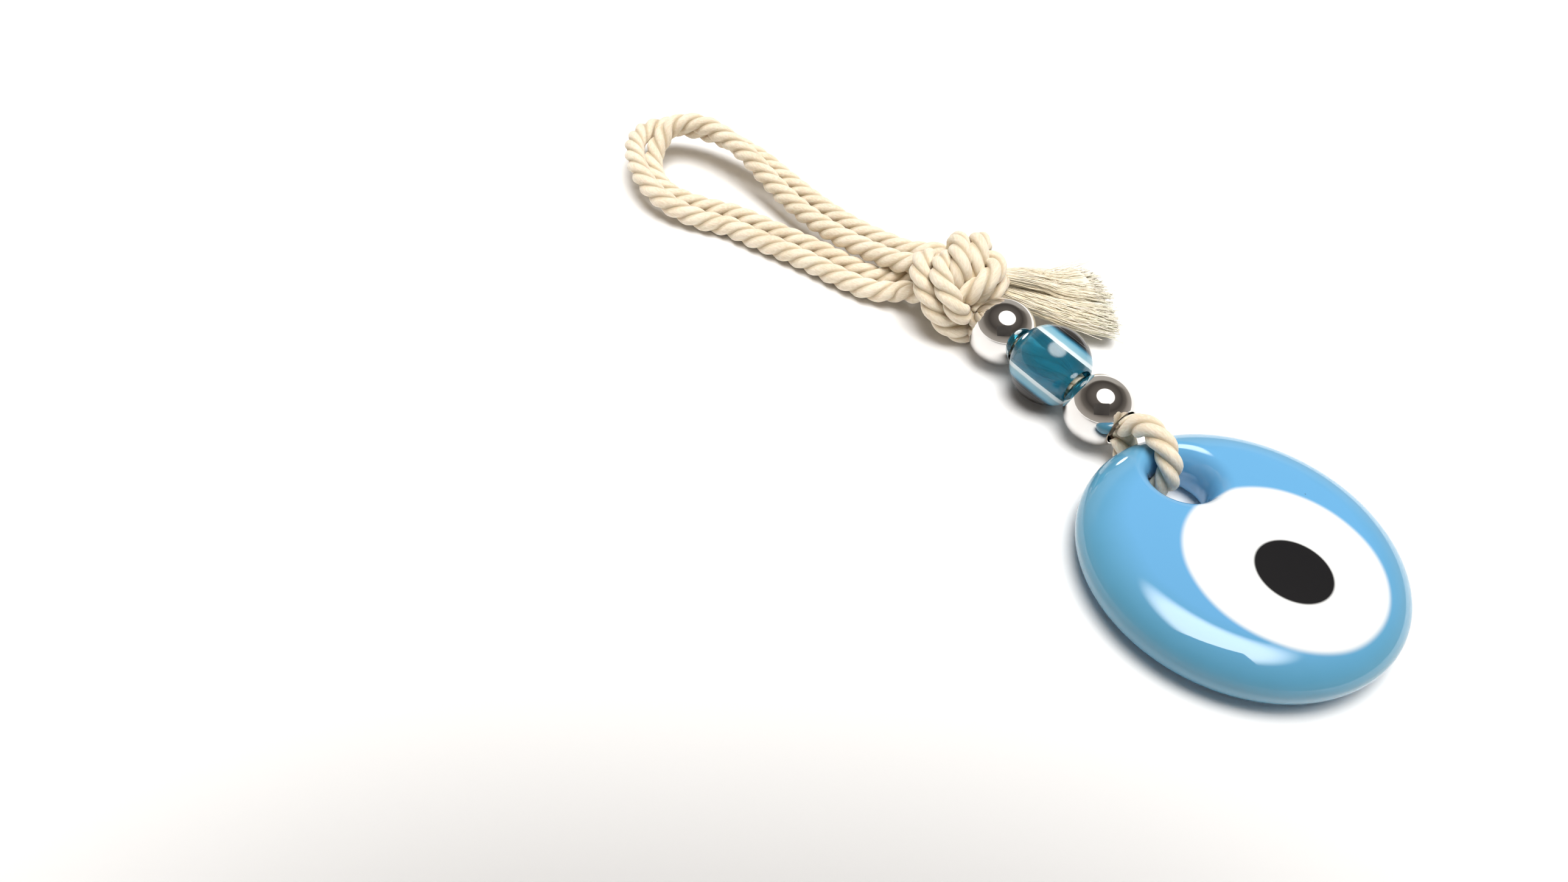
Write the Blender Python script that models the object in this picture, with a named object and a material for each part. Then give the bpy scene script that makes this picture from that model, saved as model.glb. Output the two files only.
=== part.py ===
"""Evil eye ornament: a blue glass eye disc on a doubled cotton cord with three beads.

The disc lies on its flat back, face up. +Z is up, +Y runs from the pupil through the cord
hole, and the origin is the middle of the flat back. The cord goes round the glass bridge
beside the hole, through the three beads as two squeezed legs and into one overhand knot.
Past the knot the doubled cord makes the hanging loop, and its two ends fray into a tassel.
All lengths are in metres.
"""
import math

import bmesh
import bpy
import numpy as np
from mathutils import Matrix, Vector

# ---------------------------------------------------------------- driving dimensions
GAP = 0.0003                  # clearance between neighbouring solids

DISC_RADIUS = 0.025
DISC_HEIGHT = 0.0100          # crown, at the middle of the face
CROWN_DROP = 0.0012           # how much lower the crown is at the rim
RIM_LEVEL = 0.0046            # height of the widest line of the rim
FACE_ROUNDING = 0.0065        # width of the rounding between face and rim
BACK_ROUNDING = 0.0045        # width of the rounding between back and rim
HOLE_RADIUS = 0.0047          # throat of the cord hole
BRIDGE_WIDTH = 0.0060         # glass left between the hole and the rim
FUNNEL_WIDTH = 0.0032         # rounding of the hole's edge on the face
HOLE_BACK_ROUNDING = 0.0028   # rounding of the hole's edge on the back
RELIEF_DEPTH = 0.00264        # hollow under the bridge, where the cord passes
RELIEF_HALF_WIDTH = 0.0070
RELIEF_START = 0.0160         # distance from the disc's centre where the hollow starts
RELIEF_FULL = 0.0195

IRIS_RADIUS = 0.0150
IRIS_CENTRE = (0.0005, -0.0063)
IRIS_FLOOR = 0.0068           # height of the recess that the white glass fills
PUPIL_RADIUS = 0.0058
PUPIL_CENTRE = (0.0004, -0.0079)
PUPIL_FLOOR = 0.0082
PUPIL_PROUD = 0.0002          # how far the black glass stands above the white
INLAY_SPOKES = 40             # sides of the iris, the pupil and the seats cut for them

CORD_DIAMETER = 0.0040
SILVER_BEAD_RADIUS = 0.0060
EYE_BEAD_RADIUS = 0.0070
BORE_RADIUS = 0.0031          # hole through each bead
BEAD_PITCH = 0.0117           # from bead centre to bead centre
FIRST_BEAD_Y = 0.0336         # lower silver bead's centre, from the disc's centre
CORD_LINE_TURN = math.radians(7.0)    # the bead line's swing from the disc's own axis
EYE_TILT = math.radians(42.7)         # the eye bead's pole, leaning from +Z towards +X
WHITE_LAYER = (0.0035, 0.0041)        # distances from the eye bead's centre, along its pole
PALE_LAYER = (0.0041, 0.0059)
LAYER_GAP = 0.0002

LEG_OFFSET = 0.00117          # each squeezed leg in the beads, from the middle of their bores
LEG_HALF = (0.0022, 0.0010)   # half the width and height of a squeezed leg
MOUTH_Y = -0.0051             # where the legs enter the first bead, along the bead line
LEAD_Y = -0.0058              # where the straight stretch before that starts

KNOT_CENTRE = (-0.0003, 0.0360, 0.0081)    # along the bead line's own axes
KNOT_HALF = (0.0098, 0.0068, 0.0078)
PAIR_HALF_PITCH = 0.00217                  # half the distance between the loop's two cords

# ---------------------------------------------------------------- worked-out places
HOLE_Y = DISC_RADIUS - BRIDGE_WIDTH - HOLE_RADIUS
KNOT_FAR = KNOT_CENTRE[1] + KNOT_HALF[1]
KNOT_NEAR = KNOT_CENTRE[1] - KNOT_HALF[1]

# The middle line of the loop's doubled cord: across the bead line, along it, up, and by
# how many degrees the outer cord rides above the inner one.
LOOP_ROUTE = [
    (0.0003, KNOT_FAR + 0.0014, 0.0086, 0), (-0.0003, 0.0456, 0.0078, 0),
    (-0.0014, 0.0485, 0.0066, 0), (-0.0027, 0.0551, 0.0054, 0), (-0.0041, 0.0613, 0.0049, 0),
    (-0.0048, 0.0683, 0.0044, 0), (-0.0053, 0.0758, 0.0045, -5), (-0.0054, 0.0830, 0.0050, -15),
    (-0.0058, 0.0907, 0.0060, -30), (-0.0071, 0.0974, 0.0067, -42),
    (-0.0091, 0.1026, 0.0070, -48), (-0.0124, 0.1068, 0.0068, -42),
    (-0.0167, 0.1085, 0.0062, -20), (-0.0214, 0.1066, 0.0055, 12),
    (-0.0248, 0.1026, 0.0048, 32), (-0.0267, 0.0976, 0.0041, 35),
    (-0.0270, 0.0925, 0.0035, 25), (-0.0254, 0.0877, 0.0028, 10),
    (-0.0225, 0.0833, 0.0023, 0), (-0.0191, 0.0789, 0.0022, 0),
    (-0.0166, 0.0725, 0.0022, 0), (-0.0140, 0.0664, 0.0022, 0), (-0.0118, 0.0605, 0.0022, 0),
    (-0.0099, 0.0545, 0.0022, 0), (-0.0078, 0.0490, 0.0025, 0), (-0.0045, 0.0452, 0.0034, 0),
    (-0.0040, KNOT_FAR + 0.0010, 0.0040, 0),
]

# ---------------------------------------------------------------- scene, materials, helpers
for old in list(bpy.data.objects):
    bpy.data.objects.remove(old, do_unlink=True)


def linear(channel):
    """One sRGB channel (0 to 1) as the linear value that a shader wants."""
    return channel / 12.92 if channel <= 0.04045 else ((channel + 0.055) / 1.055) ** 2.4


def finish(name, colour, roughness, metallic=0.0):
    """A plain Principled material; colour is an sRGB hex string."""
    material = bpy.data.materials.new(name)
    material.use_nodes = True
    shader = material.node_tree.nodes["Principled BSDF"]
    rgb = [linear(int(colour[i:i + 2], 16) / 255) for i in (0, 2, 4)]
    shader.inputs["Base Color"].default_value = (*rgb, 1.0)
    shader.inputs["Roughness"].default_value = roughness
    shader.inputs["Metallic"].default_value = metallic
    return material


BLUE_GLASS = finish("blue_opaque_glass", "74BBE6", 0.08)
WHITE_GLASS = finish("white_opaque_glass", "F5F6F4", 0.08)
BLACK_GLASS = finish("black_opaque_glass", "232324", 0.25)
SILVER_PLATE = finish("bright_silver_plate", "D8D6D4", 0.05, metallic=1.0)
TEAL_RESIN = finish("teal_resin", "0B6F93", 0.12)
WHITE_RESIN = finish("white_resin", "DDE8EE", 0.12)
PALE_RESIN = finish("pale_blue_resin", "7FB0C6", 0.12)
BLACK_RESIN = finish("black_resin", "1C1A1B", 0.15)
COTTON = finish("natural_cotton_cord", "DCCBAE", 0.9)


def add_object(name, mesh, material, parent=None):
    """One named piece; pieces that share a mesh share its material as well."""
    item = bpy.data.objects.new(name, mesh)
    bpy.context.collection.objects.link(item)
    if len(mesh.materials) == 0:
        mesh.materials.append(material)
    item.parent = parent
    return item


def add_frame(name, place, turn=0.0, parent=None):
    """An empty that carries the pieces of one moving body."""
    frame = bpy.data.objects.new(name, None)
    bpy.context.collection.objects.link(frame)
    frame.location = place
    frame.rotation_euler = (0.0, 0.0, turn)
    frame.parent = parent
    return frame


def mesh_from(bm, name, sharp=40.0):
    """Turn a bmesh into a smooth-shaded mesh with its faces pointing out."""
    bmesh.ops.recalc_face_normals(bm, faces=bm.faces)
    mesh = bpy.data.meshes.new(name)
    bm.to_mesh(mesh)
    bm.free()
    mesh.shade_smooth()
    mesh.set_sharp_from_angle(angle=math.radians(sharp))
    return mesh


def bridge_rings(bm, rings, closed=False):
    """Faces between each ring of vertices and the next; all rings have the same count."""
    pairs = list(zip(rings, rings[1:]))
    if closed:
        pairs.append((rings[-1], rings[0]))
    for one, two in pairs:
        count = len(one)
        for i in range(count):
            j = (i + 1) % count
            bm.faces.new((one[i], one[j], two[j], two[i]))


def subtract(target, cutter):
    """Cut one object from another; the cutter stays as a hidden guide."""
    cutter.hide_render = True
    cutter.display_type = "WIRE"
    cut = target.modifiers.new("cut_" + cutter.name, "BOOLEAN")
    cut.operation = "DIFFERENCE"
    cut.object = cutter


def smooth_route(points, steps):
    """Points on a Catmull-Rom curve through the given ones, with steps per span."""
    line = [np.array(p, dtype=float) for p in points]
    line = [2 * line[0] - line[1]] + line + [2 * line[-1] - line[-2]]
    out = []
    for a, b, c, d in zip(line, line[1:], line[2:], line[3:]):
        for k in range(steps):
            t = k / steps
            out.append(0.5 * (2 * b + (c - a) * t + (2 * a - 5 * b + 4 * c - d) * t ** 2
                              + (3 * b - a - 3 * c + d) * t ** 3))
    out.append(line[-2])
    return out


# ---------------------------------------------------------------- the glass disc's surface
def quarter_round(distance, width):
    """0 at an edge, rising along a quarter of an ellipse to 1 at the given width."""
    inward = min(max(distance / width, 0.0), 1.0)
    return math.sqrt(1.0 - (1.0 - inward) ** 2)


def face_height(x, y, lift=0.0):
    """Height of the disc's domed face over a point of its back."""
    radius = math.hypot(x, y)
    crown = DISC_HEIGHT - CROWN_DROP * (radius / DISC_RADIUS) ** 2
    from_rim = quarter_round(DISC_RADIUS - radius, FACE_ROUNDING)
    from_hole = quarter_round(math.hypot(x, y - HOLE_Y) - HOLE_RADIUS, FUNNEL_WIDTH)
    return RIM_LEVEL + (crown - RIM_LEVEL) * from_rim * from_hole + lift


def back_height(x, y):
    """Height of the back: flat at 0, round at the edges, hollowed under the bridge."""
    across = min(abs(x) / RELIEF_HALF_WIDTH, 1.0)
    along = min(max((y - RELIEF_START) / (RELIEF_FULL - RELIEF_START), 0.0), 1.0)
    hollow = math.cos(math.pi / 2 * across) ** 2 * along * along * (3 - 2 * along)
    from_rim = quarter_round(DISC_RADIUS - math.hypot(x, y), BACK_ROUNDING)
    from_hole = quarter_round(math.hypot(x, y - HOLE_Y) - HOLE_RADIUS, HOLE_BACK_ROUNDING)
    return RIM_LEVEL - (RIM_LEVEL - RELIEF_DEPTH * hollow) * from_rim * from_hole


def disc_mesh(spokes=48, face_steps=15, back_steps=11):
    """A closed skin round the hole: one section per spoke, from the throat to the rim."""
    bm = bmesh.new()
    rings = []
    for s in range(spokes):
        angle = 2 * math.pi * s / spokes
        dx, dy = math.cos(angle), math.sin(angle)
        inward = -HOLE_Y * dy
        reach = inward + math.sqrt(inward ** 2 + DISC_RADIUS ** 2 - HOLE_Y ** 2)
        ring = []
        for steps, height, outward in ((face_steps, face_height, True),
                                       (back_steps, back_height, False)):
            for k in range(steps):
                share = (1 - math.cos(math.pi * k / steps)) / 2
                share = share if outward else 1 - share
                t = HOLE_RADIUS + (reach - HOLE_RADIUS) * share
                x, y = t * dx, HOLE_Y + t * dy
                ring.append(bm.verts.new((x, y, height(x, y))))
        rings.append(ring)
    bridge_rings(bm, rings, closed=True)
    return mesh_from(bm, "glass_disc")


def face_patch(name, centre, radius, floor, rings=5, spokes=INLAY_SPOKES, lift=0.0):
    """A round inlay: flat underneath, and on top the disc's own face."""
    bm = bmesh.new()
    cx, cy = centre
    low_middle = bm.verts.new((cx, cy, floor))
    top_middle = bm.verts.new((cx, cy, face_height(cx, cy, lift)))
    tops = []
    for r in range(1, rings + 1):
        ring = []
        for s in range(spokes):
            angle = 2 * math.pi * s / spokes
            x = cx + radius * r / rings * math.cos(angle)
            y = cy + radius * r / rings * math.sin(angle)
            ring.append(bm.verts.new((x, y, face_height(x, y, lift))))
        tops.append(ring)
    low = [bm.verts.new((v.co.x, v.co.y, floor)) for v in tops[-1]]
    bridge_rings(bm, tops + [low])
    for s in range(spokes):
        t = (s + 1) % spokes
        bm.faces.new((top_middle, tops[0][s], tops[0][t]))
        bm.faces.new((low_middle, low[t], low[s]))
    return mesh_from(bm, name)


def cutter_drum(name, centre, radius, floor):
    """A guide that cuts an inlay's seat from its floor up through the face."""
    bm = bmesh.new()
    height = 2 * DISC_HEIGHT
    middle = Matrix.Translation((centre[0], centre[1], floor + height / 2))
    bmesh.ops.create_cone(bm, cap_ends=True, segments=INLAY_SPOKES, radius1=radius, radius2=radius,
                          depth=height, matrix=middle)
    return add_object(name, mesh_from(bm, name), BLACK_GLASS)


glass_disc = add_object("glass_disc", disc_mesh(), BLUE_GLASS)
iris = add_object("iris_white", face_patch("iris_white", IRIS_CENTRE, IRIS_RADIUS,
                                           IRIS_FLOOR + GAP), WHITE_GLASS)
add_object("pupil_black", face_patch("pupil_black", PUPIL_CENTRE, PUPIL_RADIUS,
                                     PUPIL_FLOOR + GAP, rings=3, spokes=32,
                                     lift=PUPIL_PROUD), BLACK_GLASS)
subtract(glass_disc, cutter_drum("iris_seat", IRIS_CENTRE, IRIS_RADIUS + GAP, IRIS_FLOOR))
subtract(iris, cutter_drum("pupil_seat", PUPIL_CENTRE, PUPIL_RADIUS + GAP, PUPIL_FLOOR))

# ---------------------------------------------------------------- the bead line
# Everything from the beads to the loop lies in this frame: x across, y away from the disc.
bead_line = add_frame("bead_line", (0.0, FIRST_BEAD_Y, 0.0), CORD_LINE_TURN)


def bead_mesh(name, radius, segments=32, arc_steps=12, bore_steps=2):
    """A ball turned about y, with a straight bore through it."""
    bm = bmesh.new()
    mouth = math.sqrt(radius ** 2 - BORE_RADIUS ** 2)
    first = math.asin(BORE_RADIUS / radius)
    profile = []
    for k in range(arc_steps + 1):
        angle = first + (math.pi - 2 * first) * k / arc_steps
        profile.append((radius * math.sin(angle), radius * math.cos(angle)))
    for k in range(1, bore_steps):
        profile.append((BORE_RADIUS, -mouth + 2 * mouth * k / bore_steps))
    rings = []
    for s in range(segments):
        angle = 2 * math.pi * s / segments
        rings.append([bm.verts.new((r * math.cos(angle), y, r * math.sin(angle)))
                      for r, y in profile])
    bridge_rings(bm, rings, closed=True)
    return mesh_from(bm, name)


silver_ball = bead_mesh("silver_bead", SILVER_BEAD_RADIUS)
for name, place in (("lower_silver_bead", 0), ("upper_silver_bead", 2)):
    centre = (0.0, place * BEAD_PITCH, SILVER_BEAD_RADIUS)
    spin = add_frame(name + "_axis", centre, parent=bead_line)
    add_object(name, silver_ball, SILVER_PLATE, spin)

eye_axis = add_frame("eye_bead_axis", (0.0, BEAD_PITCH, EYE_BEAD_RADIUS), parent=bead_line)
eye_axis.rotation_euler = (0.0, EYE_TILT, 0.0)


def ball_slice(name, low, high, steps=4, segments=28):
    """The part of the eye bead between two planes across its pole, z in its own frame."""
    bm = bmesh.new()
    rings = []
    for k in range(steps + 1):
        z = low + (high - low) * k / steps
        radius = math.sqrt(max(EYE_BEAD_RADIUS ** 2 - z * z, 0.0))
        rings.append([bm.verts.new((radius * math.cos(2 * math.pi * s / segments),
                                    radius * math.sin(2 * math.pi * s / segments), z))
                      for s in range(segments)])
    bridge_rings(bm, rings)
    bm.faces.new(rings[0])
    bm.faces.new(rings[-1])
    return mesh_from(bm, name)


def pole_cap(name, low, steps=4, segments=28):
    """The eye bead's black tip, rounded over to its pole."""
    bm = bmesh.new()
    start = math.acos(low / EYE_BEAD_RADIUS)
    rings = []
    for k in range(steps):
        angle = start * (1 - k / steps)
        radius, z = EYE_BEAD_RADIUS * math.sin(angle), EYE_BEAD_RADIUS * math.cos(angle)
        rings.append([bm.verts.new((radius * math.cos(2 * math.pi * s / segments),
                                    radius * math.sin(2 * math.pi * s / segments), z))
                      for s in range(segments)])
    tip = bm.verts.new((0.0, 0.0, EYE_BEAD_RADIUS))
    bridge_rings(bm, rings)
    bm.faces.new(rings[0])
    for s in range(segments):
        bm.faces.new((rings[-1][s], rings[-1][(s + 1) % segments], tip))
    return mesh_from(bm, name)


def place_layer(item, side):
    """Layers of the far side are the same pieces, turned over about the bore."""
    item.rotation_euler = (0.0, 0.0 if side == "a" else math.pi, 0.0)


core_half = WHITE_LAYER[0] - LAYER_GAP / 2
eye_core = add_object("eye_bead_core", ball_slice("eye_bead_core", -core_half, core_half, 8),
                      TEAL_RESIN, eye_axis)
bm = bmesh.new()
bmesh.ops.create_cone(bm, cap_ends=True, segments=32, radius1=BORE_RADIUS,
                      radius2=BORE_RADIUS, depth=3 * EYE_BEAD_RADIUS,
                      matrix=Matrix.Rotation(math.pi / 2, 4, "X"))
bore_cutter = add_object("eye_bore", mesh_from(bm, "eye_bore"), BLACK_RESIN, eye_axis)
subtract(eye_core, bore_cutter)
for side in ("a", "b"):
    white = ball_slice("eye_bead_white_" + side, WHITE_LAYER[0] + LAYER_GAP / 2,
                       WHITE_LAYER[1] - LAYER_GAP / 2, 1)
    place_layer(add_object("eye_bead_white_layer_" + side, white, WHITE_RESIN, eye_axis), side)
    pale = ball_slice("eye_bead_pale_" + side, PALE_LAYER[0] + LAYER_GAP / 2,
                      PALE_LAYER[1] - LAYER_GAP / 2, 3)
    place_layer(add_object("eye_bead_pale_layer_" + side, pale, PALE_RESIN, eye_axis), side)
    black = pole_cap("eye_bead_pupil_" + side, PALE_LAYER[1] + LAYER_GAP / 2)
    place_layer(add_object("eye_bead_pupil_" + side, black, BLACK_RESIN, eye_axis), side)


# ---------------------------------------------------------------- cord that the object holds
def soft_tube(name, stations, across, parent=None, steps=3, sides=12):
    """A closed oval tube. A station is (x, y, z, half width, half height)."""
    route = smooth_route(stations, steps)
    bm = bmesh.new()
    rings = []
    for i, station in enumerate(route):
        ahead = Vector(route[min(i + 1, len(route) - 1)][:3])
        behind = Vector(route[max(i - 1, 0)][:3])
        along = (ahead - behind).normalized()
        side = (across - along * across.dot(along)).normalized()
        over = side.cross(along)
        middle = Vector(station[:3])
        rings.append([bm.verts.new(middle
                                   + side * station[3] * math.cos(2 * math.pi * s / sides)
                                   + over * station[4] * math.sin(2 * math.pi * s / sides))
                      for s in range(sides)])
    bridge_rings(bm, rings)
    bm.faces.new(rings[0])
    bm.faces.new(rings[-1])
    return add_object(name, mesh_from(bm, name, 60.0), COTTON, parent)


def on_bead_line(across, along, up):
    """A place given along the bead line's own axes, in the ornament's frame."""
    turn = Matrix.Rotation(CORD_LINE_TURN, 3, "Z")
    return turn @ Vector((across, along, up)) + Vector((0.0, FIRST_BEAD_Y, 0.0))


ACROSS = Vector((1.0, 0.0, 0.0))
CORD_RADIUS = CORD_DIAMETER / 2
MOUTH = on_bead_line(0.0, MOUTH_Y, SILVER_BEAD_RADIUS)
LEAD = on_bead_line(0.0, LEAD_Y, SILVER_BEAD_RADIUS)
# The bight: down from the lower bead over the bridge, through the hole and back underneath.
BIGHT_ROUTE = [
    (MOUTH.x, MOUTH.y, MOUTH.z + LEG_OFFSET, *LEG_HALF),
    (LEAD.x, LEAD.y, LEAD.z + LEG_OFFSET, *LEG_HALF),
    (0.00045, 0.0267, 0.0084, 0.0021, 0.0015),
    (0.0002, 0.0252, 0.0098, CORD_RADIUS, CORD_RADIUS),
    (0.0, 0.0226, 0.0109, CORD_RADIUS, CORD_RADIUS),
    (0.0, 0.0196, 0.0103, CORD_RADIUS, CORD_RADIUS),
    (0.0, 0.0175, 0.0084, CORD_RADIUS, CORD_RADIUS),
    (0.0, 0.01665, 0.0056, CORD_RADIUS, CORD_RADIUS),
    (0.0, 0.0175, 0.0030, 0.0021, 0.0018),
    (0.0, 0.0193, 0.0016, 0.0024, 0.0013),
    (0.0, 0.0220, 0.00125, 0.0025, 0.00105),
    (0.0001, 0.0246, 0.0015, 0.0024, 0.0012),
    (0.00035, 0.0264, 0.0032, 0.0022, 0.0013),
    (LEAD.x, LEAD.y, LEAD.z - LEG_OFFSET, *LEG_HALF),
    (MOUTH.x, MOUTH.y, MOUTH.z - LEG_OFFSET, *LEG_HALF),
]
soft_tube("cord_bight", BIGHT_ROUTE, ACROSS, steps=2)

# The two squeezed legs through the beads. Each pair is the distance along and the height.
# They start a little inside the first bead, so that they clear the bight as the beads swing.
LEG_LINE = [(-0.0038, 0.0060), (0.0, 0.00605), (0.0057, 0.00645), (0.0117, 0.00685),
            (0.0176, 0.0065), (0.0234, 0.0062), (KNOT_NEAR - GAP, 0.0063)]
for name, sign in (("cord_leg_upper", 1), ("cord_leg_lower", -1)):
    soft_tube(name, [(0.0, y, z + sign * LEG_OFFSET, *LEG_HALF) for y, z in LEG_LINE],
              ACROSS, bead_line, steps=2)


# ---------------------------------------------------------------- knot and tassel
def knot_mesh(rows=14, spokes=24):
    """A lumpy ball: ridges run over it where the doubled cord wraps round."""
    ridge = 0.05                  # depth of the ridges, as a share of the knot's size
    ridges, lean = 4, 3           # how many there are, and how far they run round
    bm = bmesh.new()
    rings = []
    for r in range(1, rows):
        polar = math.pi * r / rows
        ring = []
        for s in range(spokes):
            angle = 2 * math.pi * s / spokes
            wave = math.cos(ridges * angle + lean * polar) * math.sin(polar)
            swell = 1.0 - ridge + ridge * wave
            ring.append(bm.verts.new((
                KNOT_CENTRE[0] + KNOT_HALF[0] * swell * math.cos(polar),
                KNOT_CENTRE[1] + KNOT_HALF[1] * swell * math.sin(polar) * math.cos(angle),
                KNOT_CENTRE[2] + KNOT_HALF[2] * swell * math.sin(polar) * math.sin(angle))))
        rings.append(ring)
    bridge_rings(bm, rings)
    for ring, side in ((rings[0], 1), (rings[-1], -1)):
        tip = bm.verts.new((KNOT_CENTRE[0] + side * KNOT_HALF[0] * (1 - ridge),
                            KNOT_CENTRE[1], KNOT_CENTRE[2]))
        for s in range(spokes):
            bm.faces.new((ring[s], ring[(s + 1) % spokes], tip))
    return mesh_from(bm, "overhand_knot", 70.0)


add_object("overhand_knot", knot_mesh(), COTTON, bead_line)

# Each frayed end leaves the knot beside the beads and fans out as it comes down.
TASSEL_ROUTES = {
    "tassel_end_a": [(0.0088, 0.0312, 0.0096, 0.0018, 0.0015),
                     (0.0135, 0.0300, 0.0080, 0.0024, 0.0017),
                     (0.0200, 0.0286, 0.0050, 0.0036, 0.0017),
                     (0.0300, 0.0256, 0.0025, 0.0054, 0.0019)],
    "tassel_end_b": [(0.0076, 0.0292, 0.0060, 0.0017, 0.0015),
                     (0.0110, 0.0254, 0.0052, 0.0022, 0.0017),
                     (0.0155, 0.0206, 0.0036, 0.0034, 0.0017),
                     (0.0215, 0.0156, 0.0024, 0.0047, 0.0019)],
}
for name, stations in TASSEL_ROUTES.items():
    start, end = Vector(stations[0][:3]), Vector(stations[-1][:3])
    sideways = Vector((0.0, 0.0, 1.0)).cross(end - start).normalized()
    soft_tube(name, stations, sideways, bead_line, steps=3)


# ---------------------------------------------------------------- hanging loop
def loop_tube(name, shift):
    """One cord of the doubled loop, shifted from the pair's middle line."""
    middle = smooth_route(LOOP_ROUTE, 2)
    points = []
    for i, here in enumerate(middle):
        along = Vector((middle[min(i + 1, len(middle) - 1)] - middle[max(i - 1, 0)])[:3])
        outward = Vector((along.y, -along.x, 0.0)).normalized()
        lean = math.radians(here[3])
        points.append(Vector(here[:3]) + (outward * math.cos(lean)
                                          + Vector((0.0, 0.0, math.sin(lean)))) * shift)
    curve = bpy.data.curves.new(name, "CURVE")
    curve.dimensions = "3D"
    curve.bevel_depth = CORD_DIAMETER / 2
    curve.bevel_resolution = 2
    curve.use_fill_caps = True
    spline = curve.splines.new("POLY")
    spline.points.add(len(points) - 1)
    for knot, point in zip(spline.points, points):
        knot.co = (*point, 1.0)
    return add_object(name, curve, COTTON, bead_line)


loop_tube("loop_cord_outer", PAIR_HALF_PITCH)
loop_tube("loop_cord_inner", -PAIR_HALF_PITCH)
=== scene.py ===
# %% [markdown]
# # Evil eye ornament
#
# A pressed glass eye hangs on one natural cotton cord. The cord goes round the bridge of
# glass beside the hole, runs doubled through two silver beads and an eye bead, ties one
# overhand knot, makes the hanging loop and ends in two frayed tassels. The ornament lies
# on a white table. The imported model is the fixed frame: it says where each piece is and
# which body it moves with. The pieces made here are the fine surfaces around it.

# %% Load the frame
import math

import bmesh
import bpy
import numpy as np
from mathutils import Matrix, Vector


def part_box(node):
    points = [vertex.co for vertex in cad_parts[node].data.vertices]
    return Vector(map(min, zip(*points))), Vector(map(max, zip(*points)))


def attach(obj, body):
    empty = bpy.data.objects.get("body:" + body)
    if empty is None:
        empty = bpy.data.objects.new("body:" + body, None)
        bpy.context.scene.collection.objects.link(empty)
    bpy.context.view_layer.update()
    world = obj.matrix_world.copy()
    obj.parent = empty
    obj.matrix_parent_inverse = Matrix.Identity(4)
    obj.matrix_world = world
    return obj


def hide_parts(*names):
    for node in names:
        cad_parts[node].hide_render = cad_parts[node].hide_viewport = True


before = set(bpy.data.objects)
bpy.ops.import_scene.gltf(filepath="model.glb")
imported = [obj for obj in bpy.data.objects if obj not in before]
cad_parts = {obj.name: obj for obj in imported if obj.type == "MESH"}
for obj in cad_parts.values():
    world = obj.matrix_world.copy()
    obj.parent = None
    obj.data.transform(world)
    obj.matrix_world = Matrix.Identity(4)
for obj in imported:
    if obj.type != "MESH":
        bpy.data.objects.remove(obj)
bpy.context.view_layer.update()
MM = 0.001
MATHS, VECTORS = "ShaderNodeMath", "ShaderNodeVectorMath"
NAMED, STORED = "GeometryNodeInputNamedAttribute", "GeometryNodeStoreNamedAttribute"

# %% [markdown]
# ## Small helpers
#
# Three helpers are used everywhere: one turns a hex colour into the linear value that a
# shader wants, one adds a node with its settings and links, and one puts a finished piece
# on its body with the CAD nodes that it stands for.


# %% Helpers for colours, nodes and pieces
def linear(colour):
    """An sRGB hex colour as linear RGBA."""
    channels = [int(colour[i:i + 2], 16) / 255 for i in (0, 2, 4)]
    return (*[c / 12.92 if c <= 0.04045 else ((c + 0.055) / 1.055) ** 2.4
              for c in channels], 1.0)


def add(tree, kind, *feeds, **settings):
    """Adds a node. Feeds go to its inputs in order, or by name in a dict; each is a value,
    a socket or a node, which gives its own first output. Settings are its properties."""
    node = tree.nodes.new(kind)
    for name, value in settings.items():
        setattr(node, name, value)
    places = {}
    for place, value in enumerate(feeds):
        places.update(value if isinstance(value, dict) else {place: value})
    for place, value in places.items():
        if isinstance(value, bpy.types.Node):
            value = next(socket for socket in value.outputs if socket.enabled)
        if isinstance(value, bpy.types.NodeSocket):
            tree.links.new(value, node.inputs[place])
        else:
            node.inputs[place].default_value = value
    return node


def finish_named(name, roughness, **inputs):
    """A new material, its tree and its Principled shader with the values given."""
    material = bpy.data.materials.new(name)
    material.use_nodes = True
    tree = material.node_tree
    shader = tree.nodes["Principled BSDF"]
    shader.inputs["Roughness"].default_value = roughness
    for key, value in inputs.items():
        shader.inputs[key.replace("_", " ")].default_value = value
    return material, tree, shader


def settle(piece, body, slot, *nodes):
    """The piece rides on a body and stands for these CAD nodes; slot is not used."""
    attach(piece, body)
    if nodes:
        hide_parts(*nodes)
    print(f"{piece.name}: {len(piece.data.polygons)} faces on {body}")
    return piece


def piece_from(mesh, name, material=None, sharp=40.0):
    """A mesh as a smooth-shaded piece at the origin."""
    mesh.name = name
    mesh.shade_smooth()
    mesh.set_sharp_from_angle(angle=math.radians(sharp))
    if material is not None:
        mesh.materials.clear()
        mesh.materials.append(material)
    piece = bpy.data.objects.new(name, mesh)
    bpy.context.scene.collection.objects.link(piece)
    return piece


def bm_to_mesh(bm, name):
    """A bmesh as a mesh with its faces pointing out."""
    bmesh.ops.recalc_face_normals(bm, faces=bm.faces)
    mesh = bpy.data.meshes.new(name)
    bm.to_mesh(mesh)
    bm.free()
    return mesh


# %% [markdown]
# ## Camera
#
# The ornament is seen from the near left at about 46 degrees above the table, with a
# slightly wide lens and a small roll, so that the disc looks larger than the loop.

# %% Camera
CAMERA_PLACE = Vector((-0.12728, -0.05991, 0.13918))
CAMERA_AIM = Vector((-0.04829, 0.05437, 0.0))
CAMERA_ROLL = math.radians(6.9987)
CAMERA_LENS = 27.507

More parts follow.
